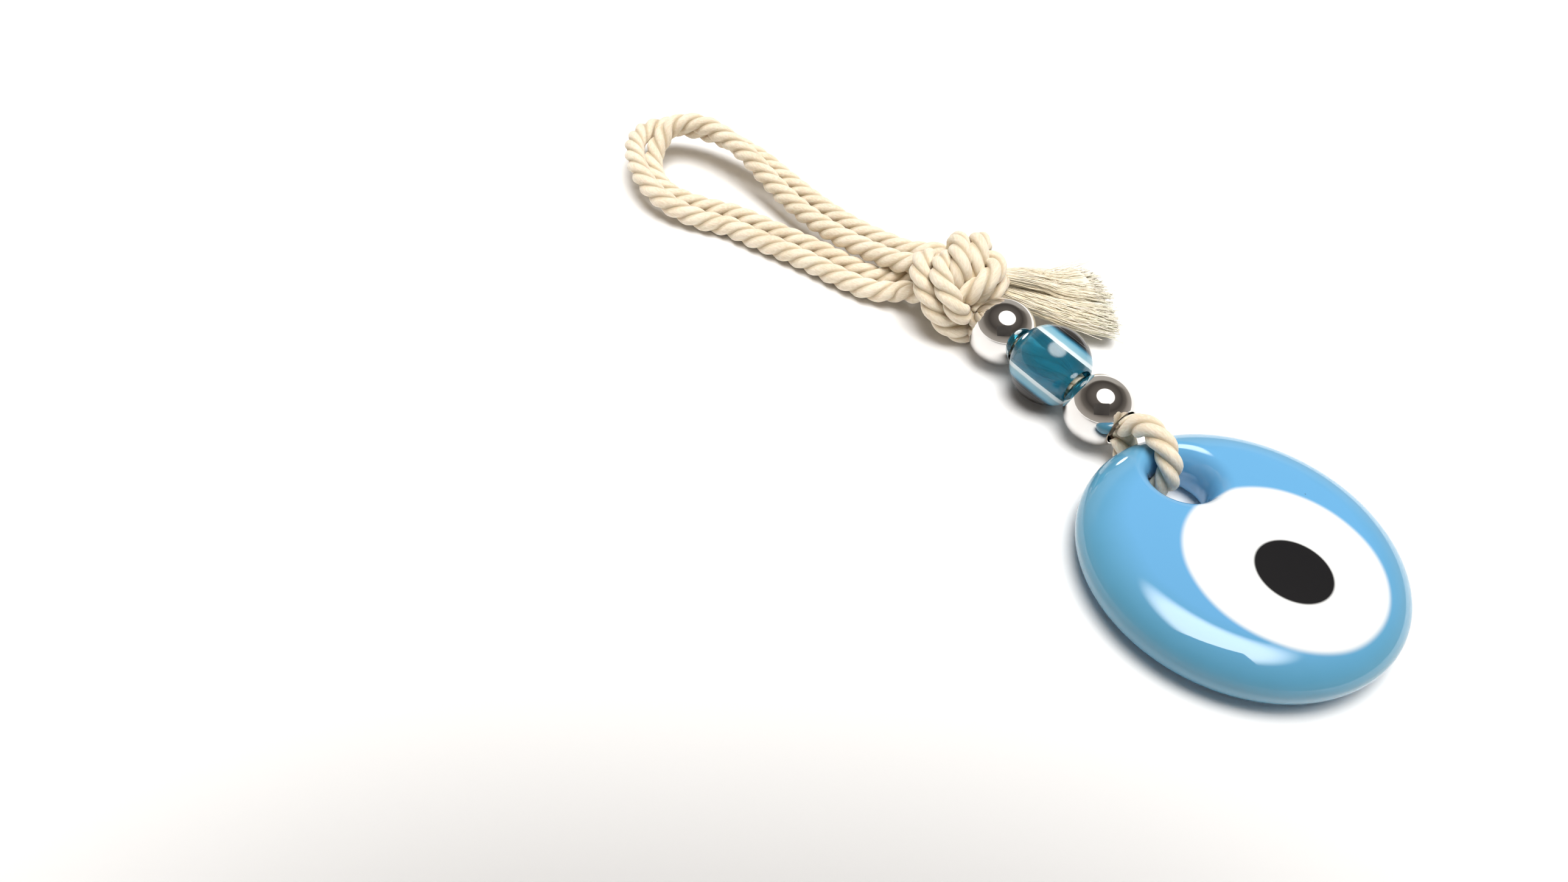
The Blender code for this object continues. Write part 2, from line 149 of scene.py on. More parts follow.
camera_data = bpy.data.cameras.new("camera")
camera_data.lens = CAMERA_LENS
camera_data.sensor_width = 36.0
camera_data.clip_start = 0.01
camera = bpy.data.objects.new("camera", camera_data)
bpy.context.scene.collection.objects.link(camera)
level = (CAMERA_AIM - CAMERA_PLACE).to_track_quat("-Z", "Y").to_matrix().to_4x4()
camera.matrix_world = (Matrix.Translation(CAMERA_PLACE) @ level
                       @ Matrix.Rotation(CAMERA_ROLL, 4, "Z"))
bpy.context.scene.camera = camera
print("camera to table:", round((CAMERA_AIM - CAMERA_PLACE).length, 4), "m")

# %% [markdown]
# ## Table and light
#
# The table is a plain white sheet. Polished beads show whatever is round them, so the room
# matters as much as the metal. It is painted as a sky: one big soft-edged lamp overhead,
# which makes the round white highlight, grey-beige walls that darken upwards, and a paler
# side. The white table fills the lower half of each bead.

# %% Table
table_bm = bmesh.new()
bmesh.ops.create_grid(table_bm, x_segments=1, y_segments=1, size=3.0)
table_finish, _, table_shader = finish_named("white_card", 0.8)
table_shader.inputs["Base Color"].default_value = linear("F7F7F8")
table = piece_from(bm_to_mesh(table_bm, "table"), "table", table_finish)

# %% Room
LAMP_GLOW = 9.5
OVERHEAD = Vector((0.02, -0.07, 0.99)).normalized()  # where the lamp hangs, from the table
LAMP_EDGES = math.radians(28.0), math.radians(15.0)   # where its glow starts and is full
WINDOW_SIDE = Vector((0.55, 0.83, 0.0)).normalized()

world = bpy.data.worlds.new("room")
bpy.context.scene.world = world
world.use_nodes = True
sky = world.node_tree
seen = add(sky, "ShaderNodeTexCoord").outputs["Generated"]
height = add(sky, "ShaderNodeSeparateXYZ", seen).outputs["Z"]
walls = add(sky, "ShaderNodeValToRGB", height)
for place, colour in ((0.27, "9D968E"), (0.40, "716B64"), (0.62, "4D4844")):
    walls.color_ramp.elements.new(place).color = linear(colour)
walls.color_ramp.elements[0].color = linear("BDB7AF")
walls.color_ramp.elements[-1].color = linear("77716B")
to_window, to_lamp = (add(sky, VECTORS, seen, tuple(way), operation="DOT_PRODUCT")
                      for way in (WINDOW_SIDE, OVERHEAD))
sideways, low_down, lamp = (
    add(sky, "ShaderNodeMapRange", {"Value": value, "From Min": none, "From Max": full},
        interpolation_type="SMOOTHSTEP")
    for value, none, full in ((to_window, 0.62, 0.80), (height, 0.55, 0.42),
                              (to_lamp, math.cos(LAMP_EDGES[0]), math.cos(LAMP_EDGES[1]))))
window = add(sky, MATHS, sideways, low_down, operation="MULTIPLY")
lit_walls = add(sky, "ShaderNodeMix", {0: window, 6: walls, 7: linear("BDB8B1")},
                data_type="RGBA")
glow = (LAMP_GLOW, 0.985 * LAMP_GLOW, 0.955 * LAMP_GLOW, 1.0)
room = add(sky, "ShaderNodeMix", {0: lamp, 6: lit_walls, 7: glow}, data_type="RGBA")
background = sky.nodes["Background"]
sky.links.new(room.outputs[2], background.inputs["Color"])
background.inputs["Strength"].default_value = 1.0

# %% The dark shape of whoever holds the camera, which the beads reflect
card_bm = bmesh.new()
bmesh.ops.create_grid(card_bm, x_segments=1, y_segments=1, size=0.5)
card_finish, _, card_shader = finish_named("dark_card", 0.5)
card_shader.inputs["Base Color"].default_value = linear("3A3633")
card = piece_from(bm_to_mesh(card_bm, "card"), "viewer_card", card_finish)
card.data.transform(camera.matrix_world @ Matrix.Translation((0.02, 0.005, 0.004))
                    @ Matrix.Diagonal((0.19, 0.14, 1.0, 1.0)))
card.visible_camera = False

bpy.context.scene.view_settings.view_transform = "Standard"
bpy.context.scene.view_settings.look = "None"

# %% [markdown]
# ## The cord's own line
#
# Every length of cord follows a smooth line. The line carries two directions along with
# it, across and over, without twisting, and two numbers that say how far the cord is
# squeezed there. A Geometry Nodes tree then lays the strands round it.


# %% Lines that carry their own directions
def smooth_route(points, spacing):
    """Evenly spaced points on a Catmull-Rom curve; extra columns are carried along."""
    rows = np.array(points, float)
    rows = np.vstack([2 * rows[0] - rows[1], rows, 2 * rows[-1] - rows[-2]])
    share = np.linspace(0.0, 1.0, 24, endpoint=False)[:, None]
    spans = []
    for a, b, c, d in zip(rows, rows[1:], rows[2:], rows[3:]):
        spans.append(0.5 * (2 * b + (c - a) * share
                            + (2 * a - 5 * b + 4 * c - d) * share ** 2
                            + (3 * b - a - 3 * c + d) * share ** 3))
    dense = np.vstack(spans + [rows[-2:-1]])
    steps = np.linalg.norm(np.diff(dense[:, :3], axis=0), axis=1)
    distance = np.concatenate([[0.0], np.cumsum(steps)])
    places = np.linspace(0.0, distance[-1], int(distance[-1] / spacing) + 2)
    return np.column_stack([np.interp(places, distance, column) for column in dense.T])


def length_of(route):
    return float(np.linalg.norm(np.diff(route[:, :3], axis=0), axis=1).sum())


def carried_sides(route, first_side):
    """A direction across the line at each point, carried along without twist."""
    tangents = np.gradient(route[:, :3], axis=0)
    tangents /= np.linalg.norm(tangents, axis=1)[:, None]
    side = np.array(first_side, float)
    sides = []
    for tangent in tangents:
        side = side - tangent * (side @ tangent)
        side /= np.linalg.norm(side)
        sides.append(side)
    return np.array(sides), np.cross(tangents, np.array(sides))


def guide_line(name, route, first_side):
    """An edge-only mesh that holds the line with its side, up, wide and high values."""
    mesh = bpy.data.meshes.new(name)
    mesh.from_pydata([tuple(p) for p in route[:, :3]],
                     [(i, i + 1) for i in range(len(route) - 1)], [])
    sides, ups = carried_sides(route, first_side)
    squeeze = route[:, 3:5] if route.shape[1] >= 5 else np.ones((len(route), 2))
    for label, values in (("side", sides), ("up", ups)):
        mesh.attributes.new(label, "FLOAT_VECTOR", "POINT").data.foreach_set(
            "vector", values.astype(np.float32).ravel())
    for label, values in (("wide", squeeze[:, 0]), ("high", squeeze[:, 1])):
        mesh.attributes.new(label, "FLOAT", "POINT").data.foreach_set(
            "value", values.astype(np.float32))
    guide = bpy.data.objects.new(name, mesh)
    bpy.context.scene.collection.objects.link(guide)
    return guide


# %% Trees with named inputs, and growing a piece with one
def new_tree(name, inputs):
    """An empty Geometry Nodes tree with these named inputs: (name, socket type)."""
    tree = bpy.data.node_groups.new(name, "GeometryNodeTree")
    tree.interface.new_socket("Geometry", in_out="INPUT", socket_type="NodeSocketGeometry")
    tree.interface.new_socket("Geometry", in_out="OUTPUT", socket_type="NodeSocketGeometry")
    for label, kind in inputs:
        tree.interface.new_socket(label, in_out="INPUT", socket_type="NodeSocket" + kind)
    return tree, tree.nodes.new("NodeGroupInput").outputs


def close_tree(tree, geometry, material):
    """The end of each tree: real geometry, then its material."""
    real = add(tree, "GeometryNodeRealizeInstances", geometry)
    painted = add(tree, "GeometryNodeSetMaterial", {"Geometry": real, "Material": material})
    add(tree, "NodeGroupOutput", painted)


def grow(guides, tree, name, values):
    """Runs a tree on each guide and returns all that it makes as one plain piece."""
    made = []
    for guide in guides:
        modifier = guide.modifiers.new(tree.name, "NODES")
        modifier.node_group = tree
        for item in tree.interface.items_tree:
            if item.in_out == "INPUT" and item.name in values:
                modifier[item.identifier] = values[item.name]
        bpy.context.view_layer.update()
        graph = bpy.context.evaluated_depsgraph_get()
        mesh = bpy.data.meshes.new_from_object(guide.evaluated_get(graph),
                                               preserve_all_data_layers=True,
                                               depsgraph=graph)
        guide.modifiers.remove(modifier)
        bpy.data.objects.remove(guide)
        made.append(bpy.data.objects.new(name, mesh))
    piece = made[0]
    for other in made:
        bpy.context.scene.collection.objects.link(other)
    if len(made) > 1:
        with bpy.context.temp_override(active_object=piece, object=piece,
                                       selected_objects=made,
                                       selected_editable_objects=made):
            bpy.ops.object.join()
    piece.name = name
    return piece


# %% [markdown]
# ## Cotton cord: the finish
#
# The cord is natural undyed cotton: three soft strands laid together to the left, each a
# bundle of fine yarns. The yarns turn against the strands, so on the surface they run
# nearly along the cord. To the eye that is a matt cream with fine lengthwise streaks and a
# slight fuzzy glow at the edges. The grooves between the strands get a darker, warmer painted
# shade.

# %% Cotton finish
CORD_DIAMETER = 0.0040
CORD_RADIUS = CORD_DIAMETER / 2
YARN_PITCH = 0.00028


def cotton_finish(name, light, middle, groove_shade):
    """Matt cotton: streaks follow the cord's own fibre attribute; grooves get painted shade."""
    material, tree, shader = finish_named(
        name, 0.92, Sheen_Weight=0.35, Sheen_Roughness=0.6, Subsurface_Weight=0.12,
        Subsurface_Scale=0.0008, Specular_IOR_Level=0.2)
    fibre = add(tree, "ShaderNodeAttribute", attribute_name="fibre").outputs["Vector"]
    stretched = add(tree, VECTORS, fibre, (1 / YARN_PITCH, 1 / YARN_PITCH, 0.10 / YARN_PITCH),
                    operation="MULTIPLY")
    streaks = add(tree, "ShaderNodeTexNoise", {"Vector": stretched, "Scale": 1.0,
                                               "Detail": 2.0, "Roughness": 0.6})
    cloud = add(tree, "ShaderNodeTexNoise", {"Vector": fibre, "Scale": 260.0})
    mixed = add(tree, "ShaderNodeMix", {0: 0.4, 2: streaks, 3: cloud}, data_type="FLOAT")
    tones = add(tree, "ShaderNodeValToRGB", mixed)
    tones.color_ramp.elements[0].position = 0.36
    tones.color_ramp.elements[0].color = linear(middle)
    tones.color_ramp.elements[1].position = 0.60
    tones.color_ramp.elements[1].color = linear(light)
    # Painted shade: points sunk towards the cord's middle, in the grooves between strands, are
    # mixed up to three quarters with the darker groove colour.
    flat = add(tree, VECTORS, fibre, (1.0, 1.0, 0.0), operation="MULTIPLY")
    from_middle = add(tree, VECTORS, flat, operation="LENGTH")
    depth = add(tree, "ShaderNodeMapRange",
                {"Value": from_middle, "From Min": 0.56 * CORD_RADIUS,
                 "From Max": 0.90 * CORD_RADIUS, "To Min": 0.75, "To Max": 0.0},
                interpolation_type="SMOOTHSTEP")
    shade = add(tree, "ShaderNodeMix", {0: depth, 6: tones, 7: linear(groove_shade)},
                data_type="RGBA")
    tree.links.new(shade.outputs[2], shader.inputs["Base Color"])
    bump = add(tree, "ShaderNodeBump", {"Height": streaks, "Strength": 0.6,
                                        "Distance": 0.00012})
    tree.links.new(bump.outputs[0], shader.inputs["Normal"])
    return material


# Cream, a darker cream, and the painted shade for the grooves between strands.
COTTON = cotton_finish("natural_cotton_cord", "EFE4D0", "DFCFB5", "BBA685")

# %% [markdown]
# ## Cotton cord: the lay
#
# A rope walk twists three strands round one another. Here a tree does the same: it copies
# the cord's line three times, moves each copy out to its place on a left-handed helix,
# sweeps a round strand along it, and at last squeezes the whole section where the cord is
# pressed flat. Each point keeps where it sits in the cord, which the finish reads.


# %% The tree that lays a cord
STRAND_SHARE = 0.54     # a strand's radius, as a share of the cord's
GUIDE_VALUES = {"centre": "FLOAT_VECTOR", "side": "FLOAT_VECTOR", "up": "FLOAT_VECTOR",
                "along": "FLOAT", "wide": "FLOAT", "high": "FLOAT"}


def cord_tree():
    tree, given = new_tree("laid_cord", [
        ("Cord Radius", "Float"), ("Lay Length", "Float"), ("Strands", "Int"),
        ("Turn", "Float"), ("Sides", "Int"), ("Fullness", "Float"), ("Finish", "Material")])
    kept = {label: add(tree, NAMED, {"Name": label}, data_type=kind)
            for label, kind in GUIDE_VALUES.items()}
    line = add(tree, "GeometryNodeMeshToCurve", given["Geometry"])
    place = add(tree, "GeometryNodeInputPosition")
    so_far = add(tree, "GeometryNodeSplineParameter").outputs["Length"]
    line = add(tree, STORED, {"Geometry": line, "Name": "centre", "Value": place},
               data_type="FLOAT_VECTOR")
    line = add(tree, STORED, {"Geometry": line, "Name": "along", "Value": so_far},
               data_type="FLOAT")
    copies = add(tree, "GeometryNodeDuplicateElements",
                 {"Geometry": line, "Amount": given["Strands"]}, domain="SPLINE")

    # each strand's place on the helix
    turns = add(tree, MATHS, kept["along"], given["Lay Length"], operation="DIVIDE")
    share = add(tree, MATHS, copies.outputs[1], given["Strands"], operation="DIVIDE")
    angle = add(tree, MATHS, share, turns, operation="SUBTRACT")
    angle = add(tree, MATHS, angle, 2 * math.pi, given["Turn"], operation="MULTIPLY_ADD")
    reach = add(tree, MATHS, given["Cord Radius"], 1 - STRAND_SHARE, operation="MULTIPLY")
    shifts = []
    for part, direction in (("COSINE", "side"), ("SINE", "up")):
        swing = add(tree, MATHS, angle, operation=part)
        swing = add(tree, MATHS, swing, reach, operation="MULTIPLY")
        shifts.append(add(tree, VECTORS, kept[direction], {"Scale": swing},
                          operation="SCALE"))
    offset = add(tree, VECTORS, *shifts, operation="ADD")
    moved = add(tree, "GeometryNodeSetPosition", copies, {"Offset": offset})
    radius = add(tree, MATHS, given["Cord Radius"], STRAND_SHARE, operation="MULTIPLY")
    section = add(tree, "GeometryNodeCurvePrimitiveCircle",
                  {"Resolution": given["Sides"], "Radius": radius})
    strands = add(tree, "GeometryNodeCurveToMesh",
                  {"Curve": moved, "Profile Curve": section, "Fill Caps": True})

    # where each point sits in the cord, for the finish
    off_centre = add(tree, VECTORS, place, kept["centre"], operation="SUBTRACT")
    a = add(tree, VECTORS, off_centre, kept["side"], operation="DOT_PRODUCT")
    b = add(tree, VECTORS, off_centre, kept["up"], operation="DOT_PRODUCT")
    fibre = add(tree, "ShaderNodeCombineXYZ", a, b, kept["along"])
    strands = add(tree, STORED, {"Geometry": strands, "Name": "fibre", "Value": fibre},
                  data_type="FLOAT_VECTOR")

    # the section filled out, and then pressed to its width and height
    at = add(tree, NAMED, {"Name": "fibre"}, data_type="FLOAT_VECTOR")
    flat = add(tree, VECTORS, at, (1.0, 1.0, 0.0), operation="MULTIPLY")
    depth = add(tree, VECTORS, flat, operation="LENGTH")
    depth = add(tree, MATHS, depth, given["Cord Radius"], operation="DIVIDE")
    depth = add(tree, MATHS, depth, 0.01, operation="MAXIMUM")
    power = add(tree, MATHS, given["Fullness"], 1.0, operation="SUBTRACT")
    swollen = add(tree, MATHS, depth, power, operation="POWER")
    filled = add(tree, VECTORS, at, {"Scale": swollen}, operation="SCALE")
    parts = add(tree, "ShaderNodeSeparateXYZ", filled)
    pressed = kept["centre"]
    for part, (share, direction) in enumerate((("wide", "side"), ("high", "up"))):
        amount = add(tree, MATHS, parts.outputs[part], kept[share], operation="MULTIPLY")
        shift = add(tree, VECTORS, kept[direction], {"Scale": amount}, operation="SCALE")
        pressed = add(tree, VECTORS, pressed, shift, operation="ADD")
    shaped = add(tree, "GeometryNodeSetPosition", strands, {"Position": pressed})
    close_tree(tree, shaped, given["Finish"])
    return tree


LAID_CORD = cord_tree()
LAY_LENGTH = 0.0105
RING_SPACING = 0.00045
FULLNESS = 0.55         # below 1 the grooves fill, as in soft cotton under tension


def lay_cord(name, routes, first_side=(1.0, 0.0, 0.0), turn=0.0, sides=14):
    """One piece of three-strand cord along each route."""
    guides = [guide_line(f"{name}_line_{i}", route, first_side)
              for i, route in enumerate(routes)]
    return grow(guides, LAID_CORD, name,
                {"Cord Radius": 1.04 * CORD_RADIUS, "Lay Length": LAY_LENGTH, "Strands": 3,
                 "Turn": turn, "Sides": sides, "Fullness": FULLNESS, "Finish": COTTON})


# %% [markdown]
# ## The hanging loop
#
# Two cords leave the knot side by side, rise in a low arch to the bend, turn over and lie
# on the table on their way back. The route's points are the same ones that the CAD tubes
# follow. Each cord is its own length: the pair's middle line shifted sideways.

# %% The loop's route along the bead line
BEAD_LINE_PLACE = Vector((0.0, 0.0336, 0.0))
BEAD_LINE_TURN = Matrix.Rotation(math.radians(7.0), 3, "Z")
KNOT_FAR = 0.0428
PAIR_HALF_PITCH = 0.00217


def on_bead_line(across, along, up):
    """A place given along the bead line's own axes, in the ornament's frame."""
    return BEAD_LINE_TURN @ Vector((across, along, up)) + BEAD_LINE_PLACE


LOOP_ROUTE = [
    (0.0003, KNOT_FAR + 0.0014, 0.0086, 0), (-0.0003, 0.0456, 0.0078, 0),
    (-0.0014, 0.0485, 0.0066, 0), (-0.0027, 0.0551, 0.0054, 0), (-0.0041, 0.0613, 0.0049, 0),
    (-0.0048, 0.0683, 0.0044, 0), (-0.0053, 0.0758, 0.0045, -5), (-0.0054, 0.0830, 0.0050, -15),
    (-0.0058, 0.0907, 0.0060, -30), (-0.0071, 0.0974, 0.0067, -42),
    (-0.0091, 0.1026, 0.0070, -48), (-0.0124, 0.1068, 0.0068, -42),
    (-0.0167, 0.1085, 0.0062, -20), (-0.0214, 0.1066, 0.0055, 12),
    (-0.0248, 0.1026, 0.0048, 32), (-0.0267, 0.0976, 0.0041, 35),
    (-0.0270, 0.0925, 0.0035, 25), (-0.0254, 0.0877, 0.0028, 10),
    (-0.0225, 0.0833, 0.0023, 0), (-0.0191, 0.0789, 0.0022, 0),
    (-0.0166, 0.0725, 0.0022, 0), (-0.0140, 0.0664, 0.0022, 0), (-0.0118, 0.0605, 0.0022, 0),
    (-0.0099, 0.0545, 0.0022, 0), (-0.0078, 0.0490, 0.0025, 0), (-0.0045, 0.0452, 0.0034, 0),
    (-0.0040, KNOT_FAR + 0.0010, 0.0040, 0),
]
TAILS = [(0.0010, 0.0385, 0.0090), (-0.0014, 0.0380, 0.0062)]   # their ends, in the knot


def loop_route(shift):
    """One cord of the doubled loop, in the ornament's frame."""
    stations = [(*on_bead_line(*p[:3]), p[3]) for p in LOOP_ROUTE]
    stations = [(*on_bead_line(*TAILS[0]), 0)] + stations + [(*on_bead_line(*TAILS[1]), 0)]
    middle = smooth_route(stations, RING_SPACING)
    along = np.gradient(middle[:, :3], axis=0)
    outward = np.column_stack([along[:, 1], -along[:, 0], np.zeros(len(along))])
    outward /= np.linalg.norm(outward, axis=1)[:, None]
    lean = np.radians(middle[:, 3])[:, None]
    apart = outward * np.cos(lean) + np.array([[0.0, 0.0, 1.0]]) * np.sin(lean)
    return smooth_route((middle[:, :3] + apart * shift)[::6], RING_SPACING)


# %% The two loop cords
for name, shift, turn in (("loop_cord_outer", PAIR_HALF_PITCH, 0.4),
                          ("loop_cord_inner", -PAIR_HALF_PITCH, 2.1)):
    route = loop_route(shift)
    rope = settle(lay_cord(name + "_rope", [route], turn=turn), "cord_line",
                  "cotton_cord", name)
    print(name, "is", round(length_of(route) * 1000), "mm long")

# %% [markdown]
# ## The cord at the disc and in the beads
#
# The cord's middle goes up over the glass bridge, down through the hole and back
# underneath, where it is pressed flat. Both legs then run through the beads, squeezed to
# ovals one above the other. Each station of the route gives its place and half its width
# and height, and the tree presses the strands to that size.

# %% The bight and the two legs
LEG_OFFSET = 0.00117
LEG_HALF = (0.0022, 0.0010)
MOUTH_HALF = (0.0027, 0.0015)    # the soft cord swells to fill the bead's mouth
BEAD_LEVEL = 0.0060
MOUTH = on_bead_line(0.0, -0.0051, BEAD_LEVEL)
LEAD = on_bead_line(0.0, -0.0058, BEAD_LEVEL)
ROUND = (CORD_RADIUS, CORD_RADIUS)
BIGHT_ROUTE = [
    (MOUTH.x, MOUTH.y, MOUTH.z + LEG_OFFSET, *MOUTH_HALF),
    (LEAD.x, LEAD.y, LEAD.z + LEG_OFFSET, *MOUTH_HALF),
    (0.00045, 0.0267, 0.0083, 0.0025, 0.0018), (0.0002, 0.0252, 0.0098, 0.0021, 0.0020),
    (0.0, 0.0226, 0.0109, *ROUND), (0.0, 0.0196, 0.0103, *ROUND),
    (0.0, 0.0175, 0.0084, *ROUND), (0.0, 0.01665, 0.0056, *ROUND),
    (0.0, 0.0175, 0.0030, 0.0021, 0.0018), (0.0, 0.0193, 0.0016, 0.0024, 0.0013),
    (0.0, 0.0220, 0.00125, 0.0025, 0.00105), (0.0001, 0.0246, 0.0015, 0.0024, 0.0012),
    (0.00035, 0.0264, 0.0033, 0.0025, 0.0015),
    (LEAD.x, LEAD.y, LEAD.z - LEG_OFFSET, *MOUTH_HALF),
    (MOUTH.x, MOUTH.y, MOUTH.z - LEG_OFFSET, *MOUTH_HALF),
]
LEG_LINE = [(-0.0040, 0.0060), (0.0, 0.00605), (0.0057, 0.00645), (0.0117, 0.00685),
            (0.0176, 0.0065), (0.0234, 0.0062), (0.0312, 0.0066)]


def squeezed_route(stations):
    """Turns half widths and heights into shares of the cord's radius."""
    route = smooth_route(stations, RING_SPACING)
    route[:, 3:5] /= CORD_RADIUS
    return route


settle(lay_cord("cord_round_bridge", [squeezed_route(BIGHT_ROUTE)], turn=0.5),
       "bight", "cotton_cord", "cord_bight")
leg_routes = [squeezed_route([(*on_bead_line(0.0, y, z + sign * LEG_OFFSET), *LEG_HALF)
                              for y, z in LEG_LINE]) for sign in (1, -1)]
settle(lay_cord("cord_legs", leg_routes, sides=10), "cord_line", "cotton_cord",
       "cord_leg_upper", "cord_leg_lower")

# %% [markdown]
# ## The knot
#
# The two cords from the beads tie one overhand knot round the two that go on to the
# tassel. A tied knot is hard to draw and easy to settle: the two cords are routed turn by
# turn, on axes that face the knot, and then every point that is too near another
# cord, the table or the bead is pushed away a little, again and again, until all lie
# against each other, as they do when a real knot is pulled tight.

# %% The knot's two cords, given in millimetres: right, up and out of its face
KNOT_RIGHT = Vector((0.865, -0.498, 0.066)).normalized()
KNOT_OUT = Vector((-0.384, -0.571, 0.725)).normalized()
KNOT_UP = KNOT_OUT.cross(KNOT_RIGHT).normalized()
KNOT_PLACE = on_bead_line(0.0002, 0.0352, 0.0080)
KNOT_CORDS = [
    [(1.2, -5.0, 1.8), (2.4, -4.4, 3.4), (3.9, -2.8, 4.6), (5.6, -1.0, 4.4),
     (6.8, 1.4, 2.6), (7.0, 3.6, -0.2), (5.0, 4.4, -2.8), (1.8, 3.6, -4.0),
     (-2.2, 4.4, -3.0), (-5.0, 5.0, -0.6), (-6.6, 3.8, 1.6), (-7.2, 1.2, 2.8),
     (-6.9, -1.7, 3.0), (-5.0, -4.5, 2.8), (-2.0, -6.2, 2.0), (1.4, -6.8, 0.2),
     (3.8, -5.6, -2.8), (3.6, -1.8, -5.6), (1.6, 2.6, -6.4), (0.0, 6.2, -3.6),
     (-0.9, 7.2, 0.4), (-0.7, 5.6, 3.8), (-0.3, 3.2, 5.2), (0.2, 0.8, 5.4),
     (0.2, -1.2, 4.2), (-0.6, -2.0, 2.2), (-2.4, -0.6, 0.8), (-5.0, 2.4, 0.8)],
    [(-0.2, -3.8, 2.0), (0.9, -3.2, 3.6), (1.9, -1.8, 5.0), (3.4, -0.2, 5.6),
     (4.9, 2.2, 4.6), (5.6, 4.8, 2.0), (4.6, 6.0, -0.6), (1.6, 5.4, -1.4),
     (-1.2, 5.6, -0.4), (-2.8, 5.8, 1.8), (-3.3, 3.8, 3.8), (-3.4, 1.2, 5.0),
     (-2.6, -1.2, 5.4), (-0.9, -3.2, 5.2), (1.6, -4.4, 4.0), (4.4, -4.4, 1.6),
     (6.4, -2.6, -1.6), (6.2, 1.2, -4.2), (4.6, 4.8, -3.8), (3.2, 6.8, -0.6),
     (2.9, 6.2, 2.4), (2.7, 4.2, 4.4), (1.9, 1.8, 5.4), (1.2, -0.4, 4.6),
     (0.2, -1.4, 2.6), (-1.6, -0.6, 0.0), (-4.6, 1.0, -1.2)],
]
KNOT_STEP = 0.0009
CORD_APART = 0.0036       # soft cords press into each other a little
KNOT_ROUNDS = 160


def settled(cords, apart, rounds, ball, ball_radius):
    """Pushes cords apart, off the table and off a ball, and keeps each one smooth."""
    points = np.vstack(cords)
    owner = np.repeat(np.arange(len(cords)), [len(c) for c in cords])
    order = np.concatenate([np.arange(len(c)) for c in cords])
    home = points.copy()
    own_stretch = int(1.6 * apart / KNOT_STEP)
    near_kin = ((owner[:, None] == owner[None]) &
                (abs(order[:, None] - order[None]) < own_stretch))
    inner = np.flatnonzero((owner[:-2] == owner[1:-1]) & (owner[1:-1] == owner[2:])) + 1
    for _ in range(rounds):
        gap = points[:, None] - points[None]
        distance = np.linalg.norm(gap, axis=2) + 1e-9
        close = (distance < apart) & ~near_kin
        push = np.where(close, (apart - distance) / distance, 0.0)
        points += 0.3 * (push[:, :, None] * gap).sum(1) / np.maximum(close.sum(1), 1)[:, None]
        points[inner] += 0.22 * ((points[inner - 1] + points[inner + 1]) / 2 - points[inner])
        points += 0.012 * (home - points)
        from_ball = points - ball
        reach = np.linalg.norm(from_ball, axis=1)
        inside = reach < ball_radius
        points[inside] = ball + from_ball[inside] * (ball_radius / reach[inside])[:, None]
        points[:, 2] = np.maximum(points[:, 2], CORD_RADIUS + 0.0001)
    return [points[owner == i] for i in range(len(cords))]


def knot_point(right, up, out):
    return KNOT_PLACE + (KNOT_RIGHT * right + KNOT_UP * up + KNOT_OUT * out) * MM


upper_bead = sum(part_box("upper_silver_bead"), Vector()) / 2
rough = [smooth_route([tuple(knot_point(*p)) for p in cord], KNOT_STEP)
         for cord in KNOT_CORDS]
tight = settled(rough, CORD_APART, KNOT_ROUNDS, np.array(upper_bead),
                0.0060 + 0.9 * CORD_RADIUS)
knot_routes = [smooth_route(cord[::2], RING_SPACING) for cord in tight]
settle(lay_cord("overhand_knot_cords", knot_routes, turn=1.0), "cord_line",
       "cotton_cord", "overhand_knot")
print("knot cords:", [round(length_of(r) * 1000) for r in knot_routes], "mm")

# %% [markdown]
# ## The frayed ends
#
# Past the knot both ends of the cord are cut and combed out. Unlaid cotton falls apart
# into fine, slightly wavy yarns that lie in a flat fan, and the cut shows pale, with a
# cool tint. A tree copies one line hundreds of times, gives each copy its own place in the
# fan, its own waves and its own length, and sweeps a thin yarn along it.


# %% Yarn finish
def yarn_finish():
    """Combed cotton: each yarn has its own tone, and the cut tips are cooler."""
    material, tree, shader = finish_named(
        "frayed_cotton_yarn", 0.9, Sheen_Weight=0.3, Sheen_Roughness=0.5,
        Specular_IOR_Level=0.2)
    own = add(tree, "ShaderNodeAttribute", attribute_name="own_tone").outputs["Fac"]
    tip = add(tree, "ShaderNodeAttribute", attribute_name="to_tip").outputs["Fac"]
    body, ends = (add(tree, "ShaderNodeValToRGB", own) for _ in range(2))
    body.color_ramp.elements[0].color = linear("EBDDBF")
    body.color_ramp.elements[1].color = linear("FBF3E2")
    ends.color_ramp.elements[0].color = linear("DFE1CC")
    ends.color_ramp.elements[1].color = linear("F8F1E8")
    ends.color_ramp.elements.new(0.5).color = linear("F0EADB")
    far = add(tree, "ShaderNodeMapRange", {"Value": tip, "From Min": 0.5, "From Max": 1.0})
    mixed = add(tree, "ShaderNodeMix", {0: far, 6: body, 7: ends}, data_type="RGBA")
    tree.links.new(mixed.outputs[2], shader.inputs["Base Color"])
    return material


YARN_COTTON = yarn_finish()
# Pale cream, a darker cream, and the painted shade for the grooves of the combed mass.
PALE_COTTON = cotton_finish("combed_cotton", "F3EAD6", "E6DABF", "D9CBAB")


# %% The tree that frays an end
YARNS_PER_LOCK = 28.0
LOCK_HOLD = 0.62        # how far a yarn keeps to its lock at the tip


